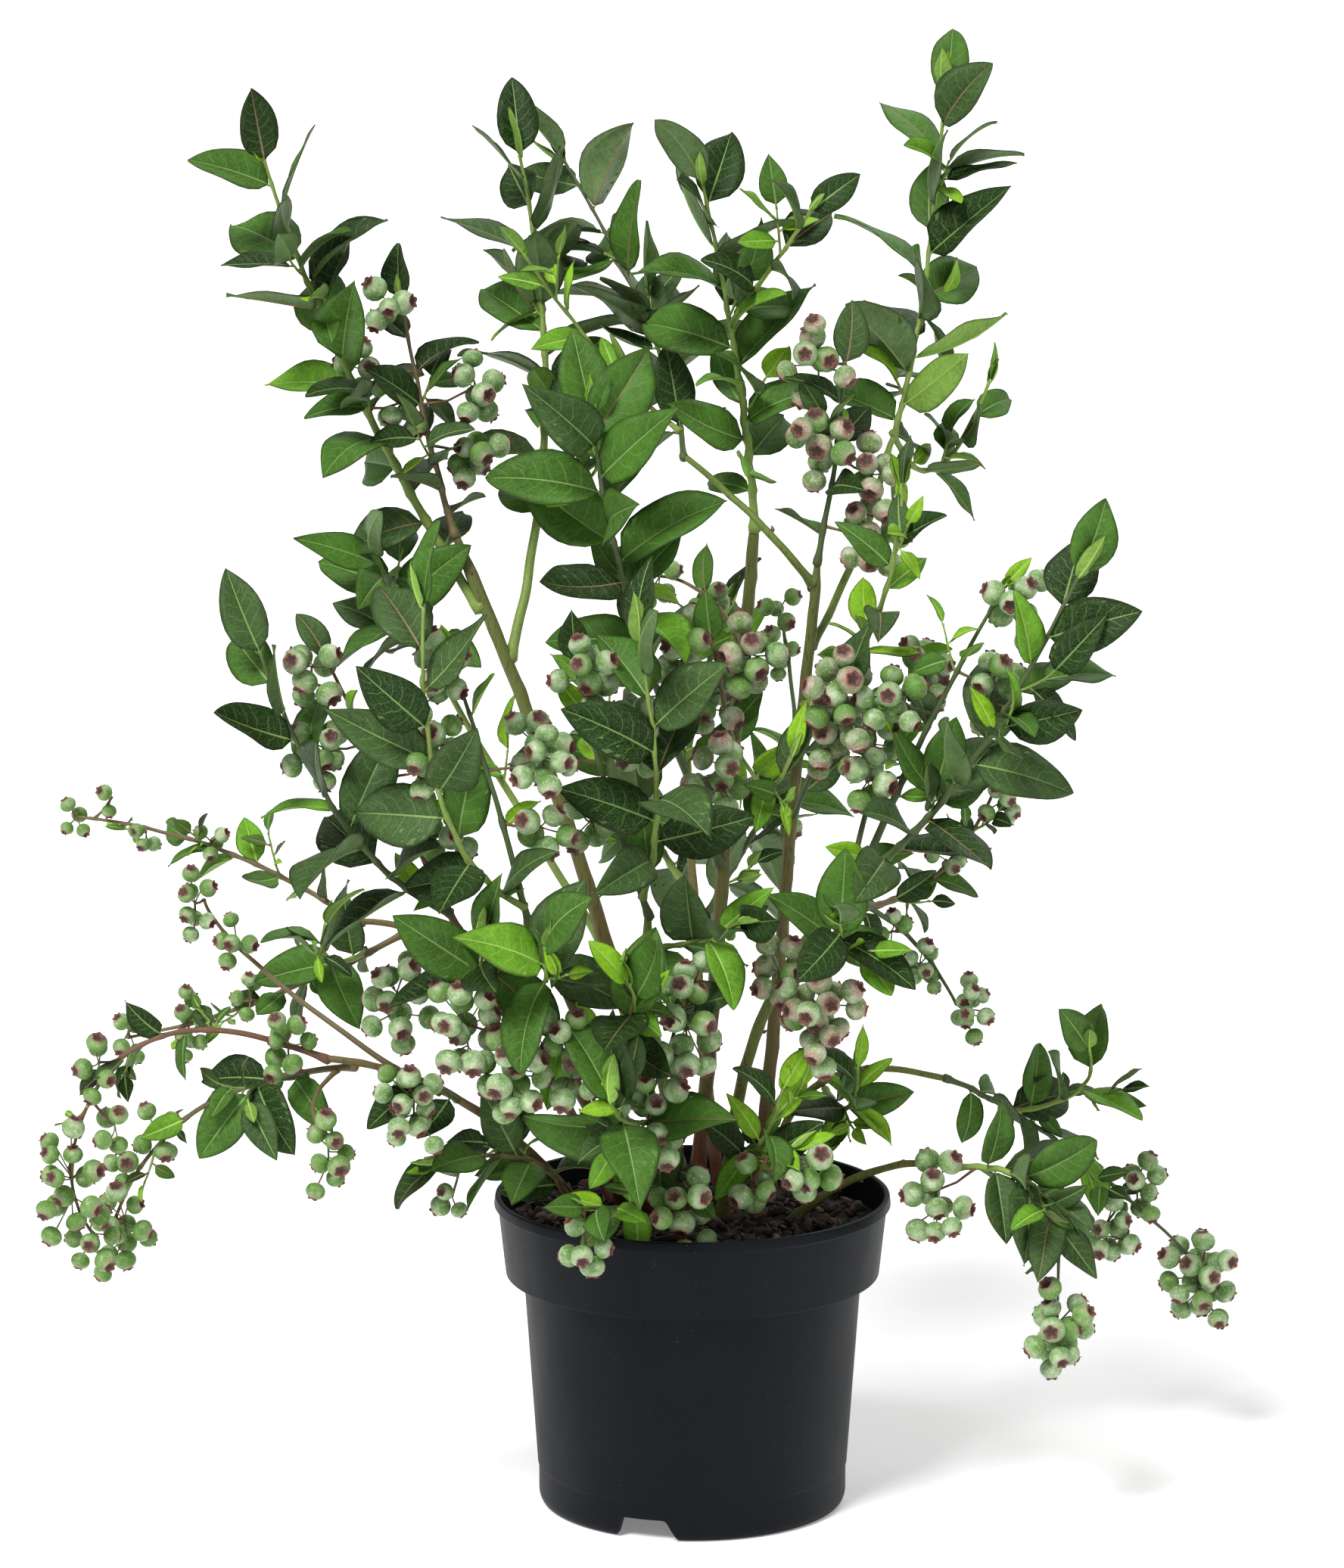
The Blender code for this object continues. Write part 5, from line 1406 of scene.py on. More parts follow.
def addTwig(heap, path, seed, slot):
    shape = twigShape
    rng = random.Random(seed + " wood")
    count = max(shape["leastRings"], int(path.length / shape["ring"]))
    centres = curvePoints(path, count)
    u = np.linspace(0, 1, count)
    radii = path.radii[0] + (path.radii[1] - path.radii[0]) * u
    row = path.row
    leaves = row["leaves"]
    shares = [row["first"] + (row["last"] - row["first"]) * i / max(leaves - 1, 1) for i in range(leaves)]
    shares += [fruit[0] for fruit in row["fruit"]]
    swell = np.zeros(count)
    for share in shares:
        swell += np.exp(-(((u - share) * path.length / shape["swellReach"]) ** 2))
    radii = radii * (1 + shape["swell"] * np.minimum(swell, 1))
    turn = rng.uniform(0, math.tau)
    sway = np.sin(u * max(leaves, 4) * math.pi * 0.9 + turn) * smoothStep(u * 8) * smoothStep((1 - u) * 6)
    for i in range(count):
        aside = path.across(u[i], turn + 2.1 * math.sin(u[i] * 5))
        centres[i] += np.array(aside) * sway[i] * shape["zigzag"] * min(1, path.length / shape["fullZigzag"])
    radii *= 1 + shape["flare"] * np.exp(-u * path.length / shape["flareReach"])
    inward = path.along(0) if path.cut is None or path.share >= 1 else path.cut
    depth = shape["forkDepth" if path.cut is None else "rootDepth"]
    centres = np.vstack([np.array(path.root - inward * depth), centres])
    heap.add(*fineTube(centres, np.concatenate([radii[:1], radii]), shape["sides"]), slot)


# Berries

berryTones = {
    "berryPale": (0.225, 0.350, 0.145),
    "berryGreen": (0.130, 0.255, 0.050),
    "berryBlush": (0.285, 0.335, 0.185),
}
berryMarks = {"green": (0.085, 0.200, 0.024), "bloom": (0.640, 0.710, 0.520), "blush": (0.360, 0.095, 0.115)}
unripeFrost = 0.5  # the green ones have less bloom
crownTones = {
    "crownRed": (0.165, 0.048, 0.040),
    "crownPit": (0.046, 0.022, 0.010),
}
stalkTones = {"stalkGreen": (0.150, 0.190, 0.060), "stalkRed": twigTones["stalkRed"]}
fruitSlots = [*berryTones, *crownTones, *stalkTones]
palePick, greenPick, blushPick = range(len(berryTones))
berryShape = {
    "segments": 20,
    "bodyRings": 7,
    "flat": 0.87,
    "crownFoot": 0.44,
    "lobes": 5,
    "lobeSharpness": 1.4,
    "crownRings": (  # radius, height over the body, lift and reach of a lobe, map height
        (0.45, 0.05, 0.10, 0.16, 0.92),  # the lobes' tips
        (0.36, 0.03, 0.06, 0.15, 0.95),
        (0.25, -0.02, 0.03, 0.19, 0.97),  # the pit opens as a star
        (0.09, -0.13, 0, 0.03, 0.98),
    ),
    "pit": -0.05,
    "tilt": 0.35,
    "squash": (0.94, 1.06),
    "usualShare": 0.7,  # of a bunch's berries have its usual tone
    "stalk": 0.5 * mm,
    "stalkSides": 6,
    "hub": 0.75 * mm,
    "spurLeast": 2 * mm,  # a shorter spur isn't made
    "spurSides": 7,
}


# One berry about +Z at radius 1: the flattened body, the crown's lobes and the pit inside them
def berryMesh():
    shape = berryShape
    segments = shape["segments"]
    bodyRings = shape["bodyRings"]
    bodyTop = math.pi - math.asin(shape["crownFoot"])
    rings = []
    for k in range(1, bodyRings + 1):
        angle = bodyTop * k / bodyRings
        rings.append((math.sin(angle), -shape["flat"] * math.cos(angle), 0, 0, 0.9 * k / bodyRings))
    top = rings[-1][1]
    rings += [(radius, top + rise, *more) for radius, rise, *more in shape["crownRings"]]
    points = [(0, 0, -shape["flat"])]
    spots = [(0.5, 0)]
    for radius, height, lift, reach, mapHeight in rings:
        for k in range(segments):
            angle = math.tau * k / segments
            lobe = abs(math.cos(shape["lobes"] * angle / 2)) ** shape["lobeSharpness"]
            r = radius + reach * lobe
            points.append((r * math.cos(angle), r * math.sin(angle), height + lift * lobe))
            spots.append((k / segments, mapHeight))
    points.append((0, 0, top + shape["pit"]))
    spots.append((0.5, 1))
    body, lobes, pit = range(3)
    faces = []
    kinds = []
    for k in range(segments):
        faces.append((0, 1 + (k + 1) % segments, 1 + k))
        kinds.append(body)
    for i in range(len(rings) - 1):
        kind = body if i < bodyRings - 1 else lobes if i < bodyRings + 2 else pit
        for k in range(segments):
            a, b = 1 + i * segments + k, 1 + i * segments + (k + 1) % segments
            faces.append((a, b, b + segments, a + segments))
            kinds.append(kind)
    end = 1 + (len(rings) - 1) * segments
    for k in range(segments):
        faces.append((end + k, end + (k + 1) % segments, len(points) - 1))
        kinds.append(pit)
    return np.array(points), faces, np.array(kinds), np.array(spots)


berryPoints, berryFaces, berryKinds, berrySpots = berryMesh()


def turnTo(axis, spin):
    side = axis.orthogonal().normalized()
    other = axis.cross(side)
    first = side * math.cos(spin) + other * math.sin(spin)
    return np.array([first, axis.cross(first), axis])


def addBerry(heap, hub, spot, radius, aim, tone, rng):
    shape = berryShape
    tilt = shape["tilt"]
    axis = (aim + Vector([rng.uniform(-tilt, tilt) for _ in range(3)])).normalized()
    turned = turnTo(axis, rng.uniform(0, math.tau))
    squash = rng.uniform(*shape["squash"])
    points = berryPoints * (1, 1, squash) * radius @ turned + np.array(spot)
    lobes, pit, greenStalk, redStalk = range(len(berryTones), len(fruitSlots))
    heap.add(points, berryFaces, np.array([tone, lobes, pit])[berryKinds], berrySpots)
    foot = spot - axis * radius * shape["flat"] * squash * 0.97
    bow = hub.lerp(foot, 0.5) - axis * radius * 0.12 + Vector((0, 0, -0.06)) * radius
    centres = [hub, bow, foot, foot + axis * 0.1 * radius]
    slot = rng.choice((greenStalk, greenStalk, redStalk))
    radii = [shape["stalk"] * k for k in (1, 0.9, 1, 1.9)]
    heap.add(*fineTube(centres, radii, shape["stalkSides"]), slot)


def makeBerryFinish(name):
    finish, tree, shader = newFinish(name, 0.5, specular=0.35)
    height = apart(tree, mapPlace(tree))[1]
    tint = grouped(tree, "tint", Colour=berryTones[name], Amount=0.26, Patch_Scale=60.0, Mottle_Scale=900.0)
    cloud = grouped(tree, "speckle", Scale=130.0)["Value"]
    fine = grouped(tree, "speckle", Scale=420.0)["Value"]
    dots = grouped(tree, "speckle", Scale=850.0)["Value"]
    frost = unripeFrost if name == "berryGreen" else 1.0
    blushes = name == "berryBlush"
    blush = times(tree, rescale(tree, height, 0.55 if blushes else 0.74, 0.93, 0, 1, True),
                  rescale(tree, fine, 0.2, 0.8, 0.35 if blushes else 0.1, 1.0 if blushes else 0.7))
    skin = tint["Colour"]
    for share, mark in (
        (rescale(tree, cloud, 0.38, 0.72, 0, 0.78, True), "green"),
        (rescale(tree, cloud, 0.42, 0.12, 0, 0.4 * frost, True), "bloom"),
        (rescale(tree, height, 0.55, 0.86, 0, 0.3 * frost, True), "bloom"),
        (blush, "blush"),
        (rescale(tree, dots, 0.55, 0.85, 0, 0.36 * frost, True), "bloom"),
    ):
        skin = blendColours(tree, share, skin, berryMarks[mark])
    grains = grouped(tree, "speckle", Scale=2200.0)["Value"]
    coverWith(tree, shader, skin, rescale(tree, cloud, 0, 1, 0.42, 0.66), grains, 0.25, 0.06 * mm)
    return finish


# The spur from a twig to a bunch's hub, the hub itself, and the berries on their stalks
def addBunch(name, bunch, heap):
    shape = berryShape
    berries = bunch["berries"]
    rng = random.Random(bunch["seed"] + " finish")
    start = bunch["path"].curve(bunch["share"])
    hub = bunch["hub"]
    middle = start.lerp(hub, 0.5) + Vector((0, 0, -0.08)) * (hub - start).length
    if (hub - start).length > shape["spurLeast"]:
        centres = [start, start.lerp(middle, 0.6), middle, middle.lerp(hub, 0.6), hub]
        radii = [shape["hub"] * k for k in (1.5, 1.1, 1, 1, 1.2)]
        woodHeap.add(*fineTube(centres, radii, shape["spurSides"]), rng.choice((brown, olive, red)))
    isFull = len(berries) > bunchShape["fewBerries"]
    if isFull:
        foot = hub - Vector((0, 0, 1.7 * berries[0][1]))
        radii = [shape["hub"] * k for k in (1, 0.9, 0.7)]
        woodHeap.add(*fineTube([hub, hub.lerp(foot, 0.5), foot], radii, shape["stalkSides"]), olive)
    usual = greenPick if name in greenFruit else blushPick if name in blushFruit else palePick
    for spot, radius, aim in berries:
        tone = usual if rng.random() < shape["usualShare"] else rng.choice((palePick, greenPick))
        low = min(0, max(spot.z + 0.5 * radius - hub.z, -1.6 * radius if isFull else 0))
        addBerry(heap, hub + Vector((0, 0, low)), spot, radius, aim, tone, rng)


brown, olive, green, red = range(len(twigTones))  # the twigs' finishes
fruitEdges = {"highAbove": 0.45, "leftOf": -0.15}
woodHeap = Heap()
fruitHeaps = {"High": Heap(), "Left": Heap(), "Low": Heap()}
fruitOf = {level: [] for level in fruitHeaps}
for name, plant in plants.items():
    tip = plant["paths"][0].tip
    level = "High" if tip.z > fruitEdges["highAbove"] else "Left" if tip.x < fruitEdges["leftOf"] else "Low"
    for number, path in enumerate(plant["paths"]):
        if not path.row["fruit"] or path.row["leaves"] >= 12:
            hues = (olive, green, green)
        else:
            hues = (brown, red) if name.startswith("left_") else (olive, olive, brown)
        seed = f"{name} {number}"
        addTwig(woodHeap, path, seed, random.Random(seed + " hue").choice(hues))
    for k, shoot in enumerate(plant["shoots"]):
        addTwig(woodHeap, shoot, f"{name} shoot {k}", green)
    bunches = [bunch for bunch in plant["bunches"] if bunch["berries"]]
    for bunch in bunches:
        addBunch(name, bunch, fruitHeaps[level])
    if bunches:
        fruitOf[level].append(name)
twigFinishes = [mottled(name, tone, 0.58, amount=0.3, patch=60.0, mottle=700.0, grain=1200.0)
                for name, tone in twigTones.items()]
dress(woodHeap.make("twigs", twigFinishes), list(masses))
fruitFinishes = [makeBerryFinish(name) for name in berryTones]
fruitFinishes += [mottled(name, tone, 0.62, amount=0.35, mottle=900.0) for name, tone in crownTones.items()]
fruitFinishes += [mottled(name, tone, 0.55, amount=0.25, mottle=900.0) for name, tone in stalkTones.items()]
for level, heap in fruitHeaps.items():
    dress(heap.make("fruit" + level, fruitFinishes), fruitOf[level])


# Canes and boughs with their bark

barkShape = {
    "ring": 2.6 * mm,
    "sides": 20,
    "endReach": 22 * mm,
    "endFuller": 1.04,  # than the twig that goes on from it
    "round": 0.97,  # of the solid's corner radius
    "flutes": 0.035,
    "fluteWaves": ((2, 0.4), (3, 1.0), (5, 0.6)),  # how many round the limb, and how strong
    "fluteTwist": 14,
    "furrow": 0.11 * mm,
    "furrowSets": 5,
    "furrowTurns": (7, 9, 11),
    "furrowPace": (40, 160),
    "nodeSpacing": (24 * mm, 38 * mm),
    "nodeSwell": 0.55 * mm,
    "nodeReach": 4 * mm,
    "fullRadius": 4 * mm,  # a thinner limb has smaller nodes
    "sway": 0.7 * mm,
    "swayReach": 3.2,  # node reaches
    "underSoil": 9 * mm,
    "inLimb": 2.5,  # mm
    "footFlare": 0.35,
    "footReach": 9 * mm,
    "budShare": 0.55,
    "budFree": 12 * mm,  # from a limb's ends
    "budLength": 3.4 * mm,
    "budRadius": 1.15 * mm,
    "budSides": 8,
    "budRings": ((0, 0.85), (0.25, 1.0), (0.5, 0.85), (0.75, 0.5), (0.95, 0.12)),  # along, radius
}
barkTones = {  # from the soil up
    "caneBark": ((0.150, 0.052, 0.030), (0.150, 0.112, 0.038), (0.130, 0.150, 0.038)),
    "greenBark": ((0.140, 0.130, 0.034), (0.125, 0.160, 0.034), (0.140, 0.200, 0.040)),
}
barkChanges = {"lower": (0.17, 0.26), "upper": (0.30, 0.46), "drift": 0.12}  # m above the floor
greenLimbs = ("cane_right_low", "cane_mid", "bough_right_upper", "bough_right_low", "bough_tall",
              "bough_upper_centre")
barkMarks = {"furrow": (0.045, 0.030, 0.022), "pore": (0.24, 0.19, 0.13), "bud": (0.150, 0.055, 0.040)}


def makeBarkFinish(name):
    foot, middle, top = barkTones[name]
    finish, tree, shader = newFinish(name, 0.6, specular=0.3)
    patches = grouped(tree, "speckle", Scale=45.0, Stretch=0.25)["Value"]
    height = plus(tree, apart(tree, objectPlace(tree))[2],
                  times(tree, minus(tree, patches, 0.5), barkChanges["drift"]))
    lower = rescale(tree, height, *barkChanges["lower"], 0, 1, True)
    upper = rescale(tree, height, *barkChanges["upper"], 0, 1, True)
    skin = blendColours(tree, upper, blendColours(tree, lower, foot, middle), top)
    lines = grouped(tree, "speckle", Scale=900.0, Detail=5.0, Stretch=0.08)["Value"]
    cracks = rescale(tree, lines, 0.16, 0.4, 0.55, 0, True)
    skin = blendColours(tree, cracks, skin, barkMarks["furrow"])
    dots = addNode(tree, "ShaderNodeTexVoronoi", {"Vector": objectPlace(tree), "Scale": 330.0})
    pores = rescale(tree, dots.outputs["Distance"], 0.1, 0.24, 0.3, 0, True)
    skin = blendColours(tree, pores, skin, barkMarks["pore"])
    rise = plus(tree, times(tree, lines, 0.8), times(tree, pores, 0.6))
    coverWith(tree, shader, skin, rescale(tree, lines, 0, 1, 0.72, 0.48), rise, 0.8, 0.35 * mm)
    return finish


# Flutes and furrows along a limb, as what they add to the radius of each ring and side
def barkRelief(s, angles, radii, rng):
    shape = barkShape
    relief = np.zeros((len(s), len(angles)))
    for turns, share in shape["fluteWaves"]:
        phase = rng.uniform(0, math.tau)
        wave = np.sin(turns * angles + phase + s[:, None] * shape["fluteTwist"])
        relief += radii[:, None] * shape["flutes"] * share * wave
    for _ in range(shape["furrowSets"]):
        turns = rng.choice(shape["furrowTurns"])
        phase, pace = rng.uniform(0, math.tau), rng.uniform(*shape["furrowPace"])
        wave = np.sin(turns * angles + phase + 1.6 * np.sin(s[:, None] * pace))
        broken = smoothStep(np.sin(s[:, None] * pace * 0.7 + phase) + 0.6)
        relief -= shape["furrow"] * np.maximum(wave, 0) ** 3 * broken
    return relief


def makeLimb(name, path, finishes):
    shape = barkShape
    rng = random.Random(name + " bark")
    heap = Heap()
    count = int(path.length / shape["ring"])
    u = np.linspace(0, 1, count)
    s = u * path.length
    centres = curvePoints(path, count)
    angles = np.arange(shape["sides"]) * math.tau / shape["sides"]
    radii = (path.radii[0] + (path.radii[1] - path.radii[0]) * u) * shape["round"]
    if name in limbEnds:  # the bark runs on into the twig at its tip
        share = smoothStep((s - path.length + shape["endReach"]) / shape["endReach"])
        radii += (limbEnds[name] * shape["endFuller"] - radii) * share
    relief = barkRelief(s, angles, radii, rng)
    spot = rng.uniform(*shape["nodeSpacing"]) * 0.6
    turn = rng.uniform(0, math.tau)
    sway = np.zeros((count, 3))
    swayReach = shape["swayReach"] * shape["nodeReach"]
    kink = 1
    while spot < path.length:
        share = spot / path.length
        away = np.exp(-(((s - spot) / shape["nodeReach"]) ** 2))[:, None]
        facing = 0.45 + 0.55 * np.cos(angles - turn)[None]
        relief += shape["nodeSwell"] * away * facing * min(1, path.radius(share) / shape["fullRadius"])
        aside = np.array(path.across(min(share, 1), turn))
        sway += aside * kink * shape["sway"] * np.exp(-(((s - spot) / swayReach) ** 2))[:, None]
        isFree = shape["budFree"] < spot < path.length - shape["budFree"]
        if rng.random() < shape["budShare"] and isFree:
            addBud(heap, path, share, turn, rng)
        kink = -kink
        turn += golden
        spot += rng.uniform(*shape["nodeSpacing"])
    centres = centres + sway * (smoothStep(u * 10) * smoothStep((1 - u) * 10))[:, None]
    if path.cut.z > 0.99:  # a cane's foot runs on down into the bark mulch
        flare, reach = shape["footFlare"], shape["footReach"]
        below = np.array(path.root - path.along(0) * shape["underSoil"])
    else:
        flare, reach = twigShape["flare"], twigShape["flareReach"]
        below = np.array(path.root - path.cut * shape["inLimb"] * mm)
    relief += (radii * flare * np.exp(-s / reach))[:, None]
    centres = np.vstack([below, centres])
    relief = np.vstack([relief[:1], relief])
    heap.add(*fineTube(centres, np.concatenate([radii[:1], radii]), shape["sides"], relief, 0.5), 0)
    dress(heap.make("bark_" + name, finishes), [name])


def addBud(heap, path, share, turn, rng):
    shape = barkShape
    out = path.across(share, turn)
    along = path.along(share)
    base = path.curve(share) + out * path.radius(share) * 0.92
    lean = (along * 0.85 + out * 0.5).normalized()
    length = shape["budLength"] * rng.uniform(0.7, 1.2)
    width = shape["budRadius"] * rng.uniform(0.75, 1.1)
    centres = [base + lean * length * k - along * 0.6 * mm for k, _ in shape["budRings"]]
    heap.add(*fineTube(centres, [width * k for _, k in shape["budRings"]], shape["budSides"]), 1)


limbEnds = {}  # the radius of the twig that goes on from a limb's tip
for name, (limb, share, rows) in masses.items():
    if share >= 1 and plants[name]["paths"]:
        limbEnds[limb] = plants[name]["paths"][0].radii[0]
budScale = mottled("budScale", barkMarks["bud"], 0.5, amount=0.4, mottle=900.0)
barks = {name: makeBarkFinish(name) for name in barkTones}
for name, path in limbPaths.items():
    makeLimb(name, path, [barks["greenBark" if name in greenLimbs else "caneBark"], budScale])
print("limbs:", len(limbPaths))


# Pot and potting mix

pot = {  # mm and degrees
    "height": 180, "lipRadius": 113.5, "lipDepth": 6.5, "collarTop": 111.2, "collarFoot": 106.8,
    "collarZ": 134, "wallTop": 96.6, "wallFoot": 88.9, "skirtZ": 22, "skirtStep": 0.6,
    "skirtFoot": 85, "footRise": 6.5, "wall": 1.9, "discRadius": 50, "discThick": 3, "channelInner": 53,
    "channelOuter": 80, "channelRise": 10, "segments": 180, "edge": 0.8, "sharpFrom": 38,
    "notches": 3, "notchBearing": -106, "notchHeight": 12, "notchTop": 26, "notchFoot": 36,
    "notchSlant": 4, "notchRound": 2.2, "notchBelow": 6, "drainHoles": 6, "drainRadius": 5,
    "drainRing": 66, "drainSides": 24,
}
potTone = (0.0036, 0.0047, 0.0072)
dustTone = (0.16, 0.15, 0.14)


# The points of a corner made round, which starts and ends this far from it
def roundCorner(before, here, after, reach, steps):
    start = here + (before - here).normalized() * reach
    end = here + (after - here).normalized() * reach
    shares = [k / steps for k in range(steps + 1)]
    return [start * (1 - t) ** 2 + here * 2 * t * (1 - t) + end * t ** 2 for t in shares]


# Each point of a closed line with its two neighbours
def withNeighbours(line):
    points = [Vector(point) for point in line]
    return zip(points[-1:] + points[:-1], points, points[1:] + points[:1])


# Rounds the corners of a closed profile of (radius, height) points, as the mould does
def rounded(profile, edge, steps=3):
    made = []
    for before, here, after in withNeighbours(profile):
        reach = min(edge, (before - here).length * 0.45, (after - here).length * 0.45)
        isOnAxis = here.x < 1
        made += [here] if isOnAxis else roundCorner(before, here, after, reach, steps)
    return [tuple(point) for point in made]


# Turns a profile in mm, from one point on the axis to another, about Z
def lathe(profile, segments):
    points = []
    rings = []
    for radius, height in profile:
        count = segments if radius > 0 else 1
        rings.append(range(len(points), len(points) + count))
        for i in range(count):
            angle = math.tau * i / segments
            points.append((radius * mm * math.cos(angle), radius * mm * math.sin(angle), height * mm))
    faces = []
    for lower, upper in zip(rings, rings[1:]):
        for i in range(segments):
            j = (i + 1) % segments
            face = [ring[k % len(ring)] for ring, k in ((lower, i), (lower, j), (upper, j), (upper, i))]
            faces.append(tuple(dict.fromkeys(face)))  # a ring of one point gives a triangle
    return points, faces


def potProfile():
    p = pot
    lipZ = p["height"] - p["lipDepth"]
    reach = p["wallFoot"] - p["skirtStep"] - p["skirtFoot"]
    footRound = [(p["skirtFoot"] + reach * math.sin(a), p["footRise"] * (1 - math.cos(a)))
                 for a in np.linspace(0, math.pi / 2, 7)]
    outside = [
        (0, 0), (p["discRadius"], 0), (p["channelInner"], p["channelRise"]),
        (p["channelOuter"], p["channelRise"]), (p["channelOuter"] + p["wall"], 0), *footRound,
        (p["wallFoot"] - p["skirtStep"], p["skirtZ"] - p["skirtStep"]), (p["wallFoot"], p["skirtZ"]),
        (p["wallTop"], p["collarZ"] - p["wall"]), (p["collarFoot"], p["collarZ"]),
        (p["collarTop"], lipZ), (p["lipRadius"], lipZ + p["skirtStep"]),
        (p["lipRadius"] - p["edge"], p["height"]), (p["lipRadius"] - 2 * p["wall"], p["height"]),
        (p["collarTop"] - p["wall"], lipZ),
    ]
    return outside + potInside()[::-1] + [(0, p["discThick"])]


def potInside():
    p = pot
    floor = p["channelRise"] + p["discThick"]
    return [
        (p["discRadius"] - p["wall"], p["discThick"]), (p["channelInner"] - p["wall"], floor),
        (p["wallFoot"] - 2 * p["wall"], floor), (p["wallFoot"] - p["wall"], p["skirtZ"]),
        (p["wallTop"] - p["wall"], p["collarZ"]), (p["collarFoot"] - p["wall"], p["collarZ"] + p["wall"]),
    ]


# The notch's outline, wider at its foot, leaning to one side, with round corners above the floor
def notchOutline():
    p = pot
    foot, top, slant, height = p["notchFoot"] / 2, p["notchTop"] / 2, p["notchSlant"], p["notchHeight"]
    below = p["notchBelow"]
    line = [(-foot - below, -height), (foot + below, -height), (foot + below, 0), (foot - slant / 2, 0),
            (top - slant, height), (-top - slant, height), (-foot - slant / 2, 0), (-foot - below, 0)]
    made = []
    for i, (before, here, after) in enumerate(withNeighbours(line)):
        isBelow = i in (0, 1, 2, 7)  # where nothing is cut
        made += [here] if isBelow else roundCorner(before, here, after, p["notchRound"], 4)
    return made


def addCutter(group, name, points, faces):
    mesh = bpy.data.meshes.new(name)
    mesh.from_pydata([tuple(p) for p in points], [], faces)
    group.objects.link(bpy.data.objects.new(name, mesh))


def addNotches(group):
    p = pot
    line = notchOutline()
    count = len(line)
    for i in range(p["notches"]):
        bearing = math.radians(p["notchBearing"]) + math.tau * i / p["notches"]
        out = Vector((math.cos(bearing), math.sin(bearing), 0))
        across = Vector((-math.sin(bearing), math.cos(bearing), 0))
        points = []
        for reach in (p["channelOuter"] - 2 * p["wall"], p["wallFoot"] + 4 * p["wall"]):
            points += [(out * reach + across * spot.x + Vector((0, 0, spot.y))) * mm for spot in line]
        faces = [tuple(range(count))[::-1], tuple(range(count, 2 * count))]
        faces += [(k, (k + 1) % count, (k + 1) % count + count, k + count) for k in range(count)]
        addCutter(group, "notch", points, faces)


def addDrains(group):
    p = pot
    for i in range(p["drainHoles"]):
        bearing = math.tau * (i + 0.5) / p["drainHoles"]
        centre = Vector((math.cos(bearing), math.sin(bearing), 0)) * p["drainRing"] * mm
        ends = [centre + Vector((0, 0, (p["channelRise"] + k) * mm)) for k in (-2, 2 * p["discThick"])]
        addCutter(group, "drain", *rodTube(ends, [p["drainRadius"] * mm] * 2, p["drainSides"]))


def makePot():
    points, faces = lathe(rounded(potProfile(), pot["edge"]), pot["segments"])
    mesh = bpy.data.meshes.new("potShell")
    mesh.from_pydata(points, [], faces)
    shell = addObject("potShell", mesh)
    cutters = bpy.data.collections.new("potCutters")
    bpy.context.scene.collection.children.link(cutters)
    addNotches(cutters)
    addDrains(cutters)
    cut = shell.modifiers.new("openings", "BOOLEAN")
    cut.operation = "DIFFERENCE"
    cut.operand_type = "COLLECTION"
    cut.collection = cutters
    cut.solver = "EXACT"
    graph = bpy.context.evaluated_depsgraph_get()
    shell.data = bpy.data.meshes.new_from_object(shell.evaluated_get(graph))
    shell.modifiers.clear()
    for cutter in list(cutters.objects):
        bpy.data.objects.remove(cutter)
    bpy.data.collections.remove(cutters)
    shell.data.materials.clear()
    shell.data.materials.append(makePotFinish())
    shell.data.shade_smooth()
    shell.data.set_sharp_from_angle(angle=math.radians(pot["sharpFrom"]))
    dress(shell, ["nursery_pot"])


def makePotFinish():
    finish, tree, shader = newFinish("potPlastic", 0.46, specular=0.11)
    tint = grouped(tree, "tint", Colour=potTone, Amount=0.25, Patch_Scale=14.0, Mottle_Scale=500.0)
    dust = addNode(tree, "ShaderNodeTexVoronoi", {"Vector": objectPlace(tree), "Scale": 260.0})
    specks = rescale(tree, dust.outputs["Distance"], 0.05, 0.12, 0.35, 0, True)
    rare = rescale(tree, grouped(tree, "speckle", Scale=75.0)["Value"], 0.62, 0.85, 0, 1, True)
    skin = blendColours(tree, times(tree, specks, rare), tint["Colour"], dustTone)
    grain = grouped(tree, "speckle", Scale=1500.0)["Value"]
    broad = grouped(tree, "speckle", Scale=26.0, Stretch=0.3)["Value"]
    rise = plus(tree, times(tree, grain, 0.5), times(tree, broad, 1.2))
    coverWith(tree, shader, skin, rescale(tree, broad, 0, 1, 0.40, 0.54), rise, 0.35, 0.18 * mm)
    return finish


soil = {
    "segments": 96,
    "rings": 22,
    "clear": 0.5 * mm,  # inside the solid's radius
    "bump": 2.4 * mm,
    "sunk": 2.5 * mm,
    "waves": 9,
    "wavePace": (90, 420),
    "wallGap": (0.8, 0.3),  # mm from the pot's wall and floor
    "chips": 900,
    "chipLength": (3 * mm, 11 * mm),
    "chipWidth": (0.45, 0.8),  # of its length
    "chipThick": (0.3, 0.6),
    "chipRough": (0.72, 1.2),
    "chipRise": (-2.2, 1.6),  # mm
    "largeChips": (0.25, 1.15),  # how many of them, and how much larger
    "within": 0.965,  # of the top's radius
    "tones": {
        "mulchDark": (0.009, 0.006, 0.005),
        "mulchBrown": (0.032, 0.019, 0.013),
        "mulchRust": (0.070, 0.036, 0.023),
        "mulchPale": (0.175, 0.115, 0.080),
    },
    "toneShares": (4, 4, 2, 0.7),
}


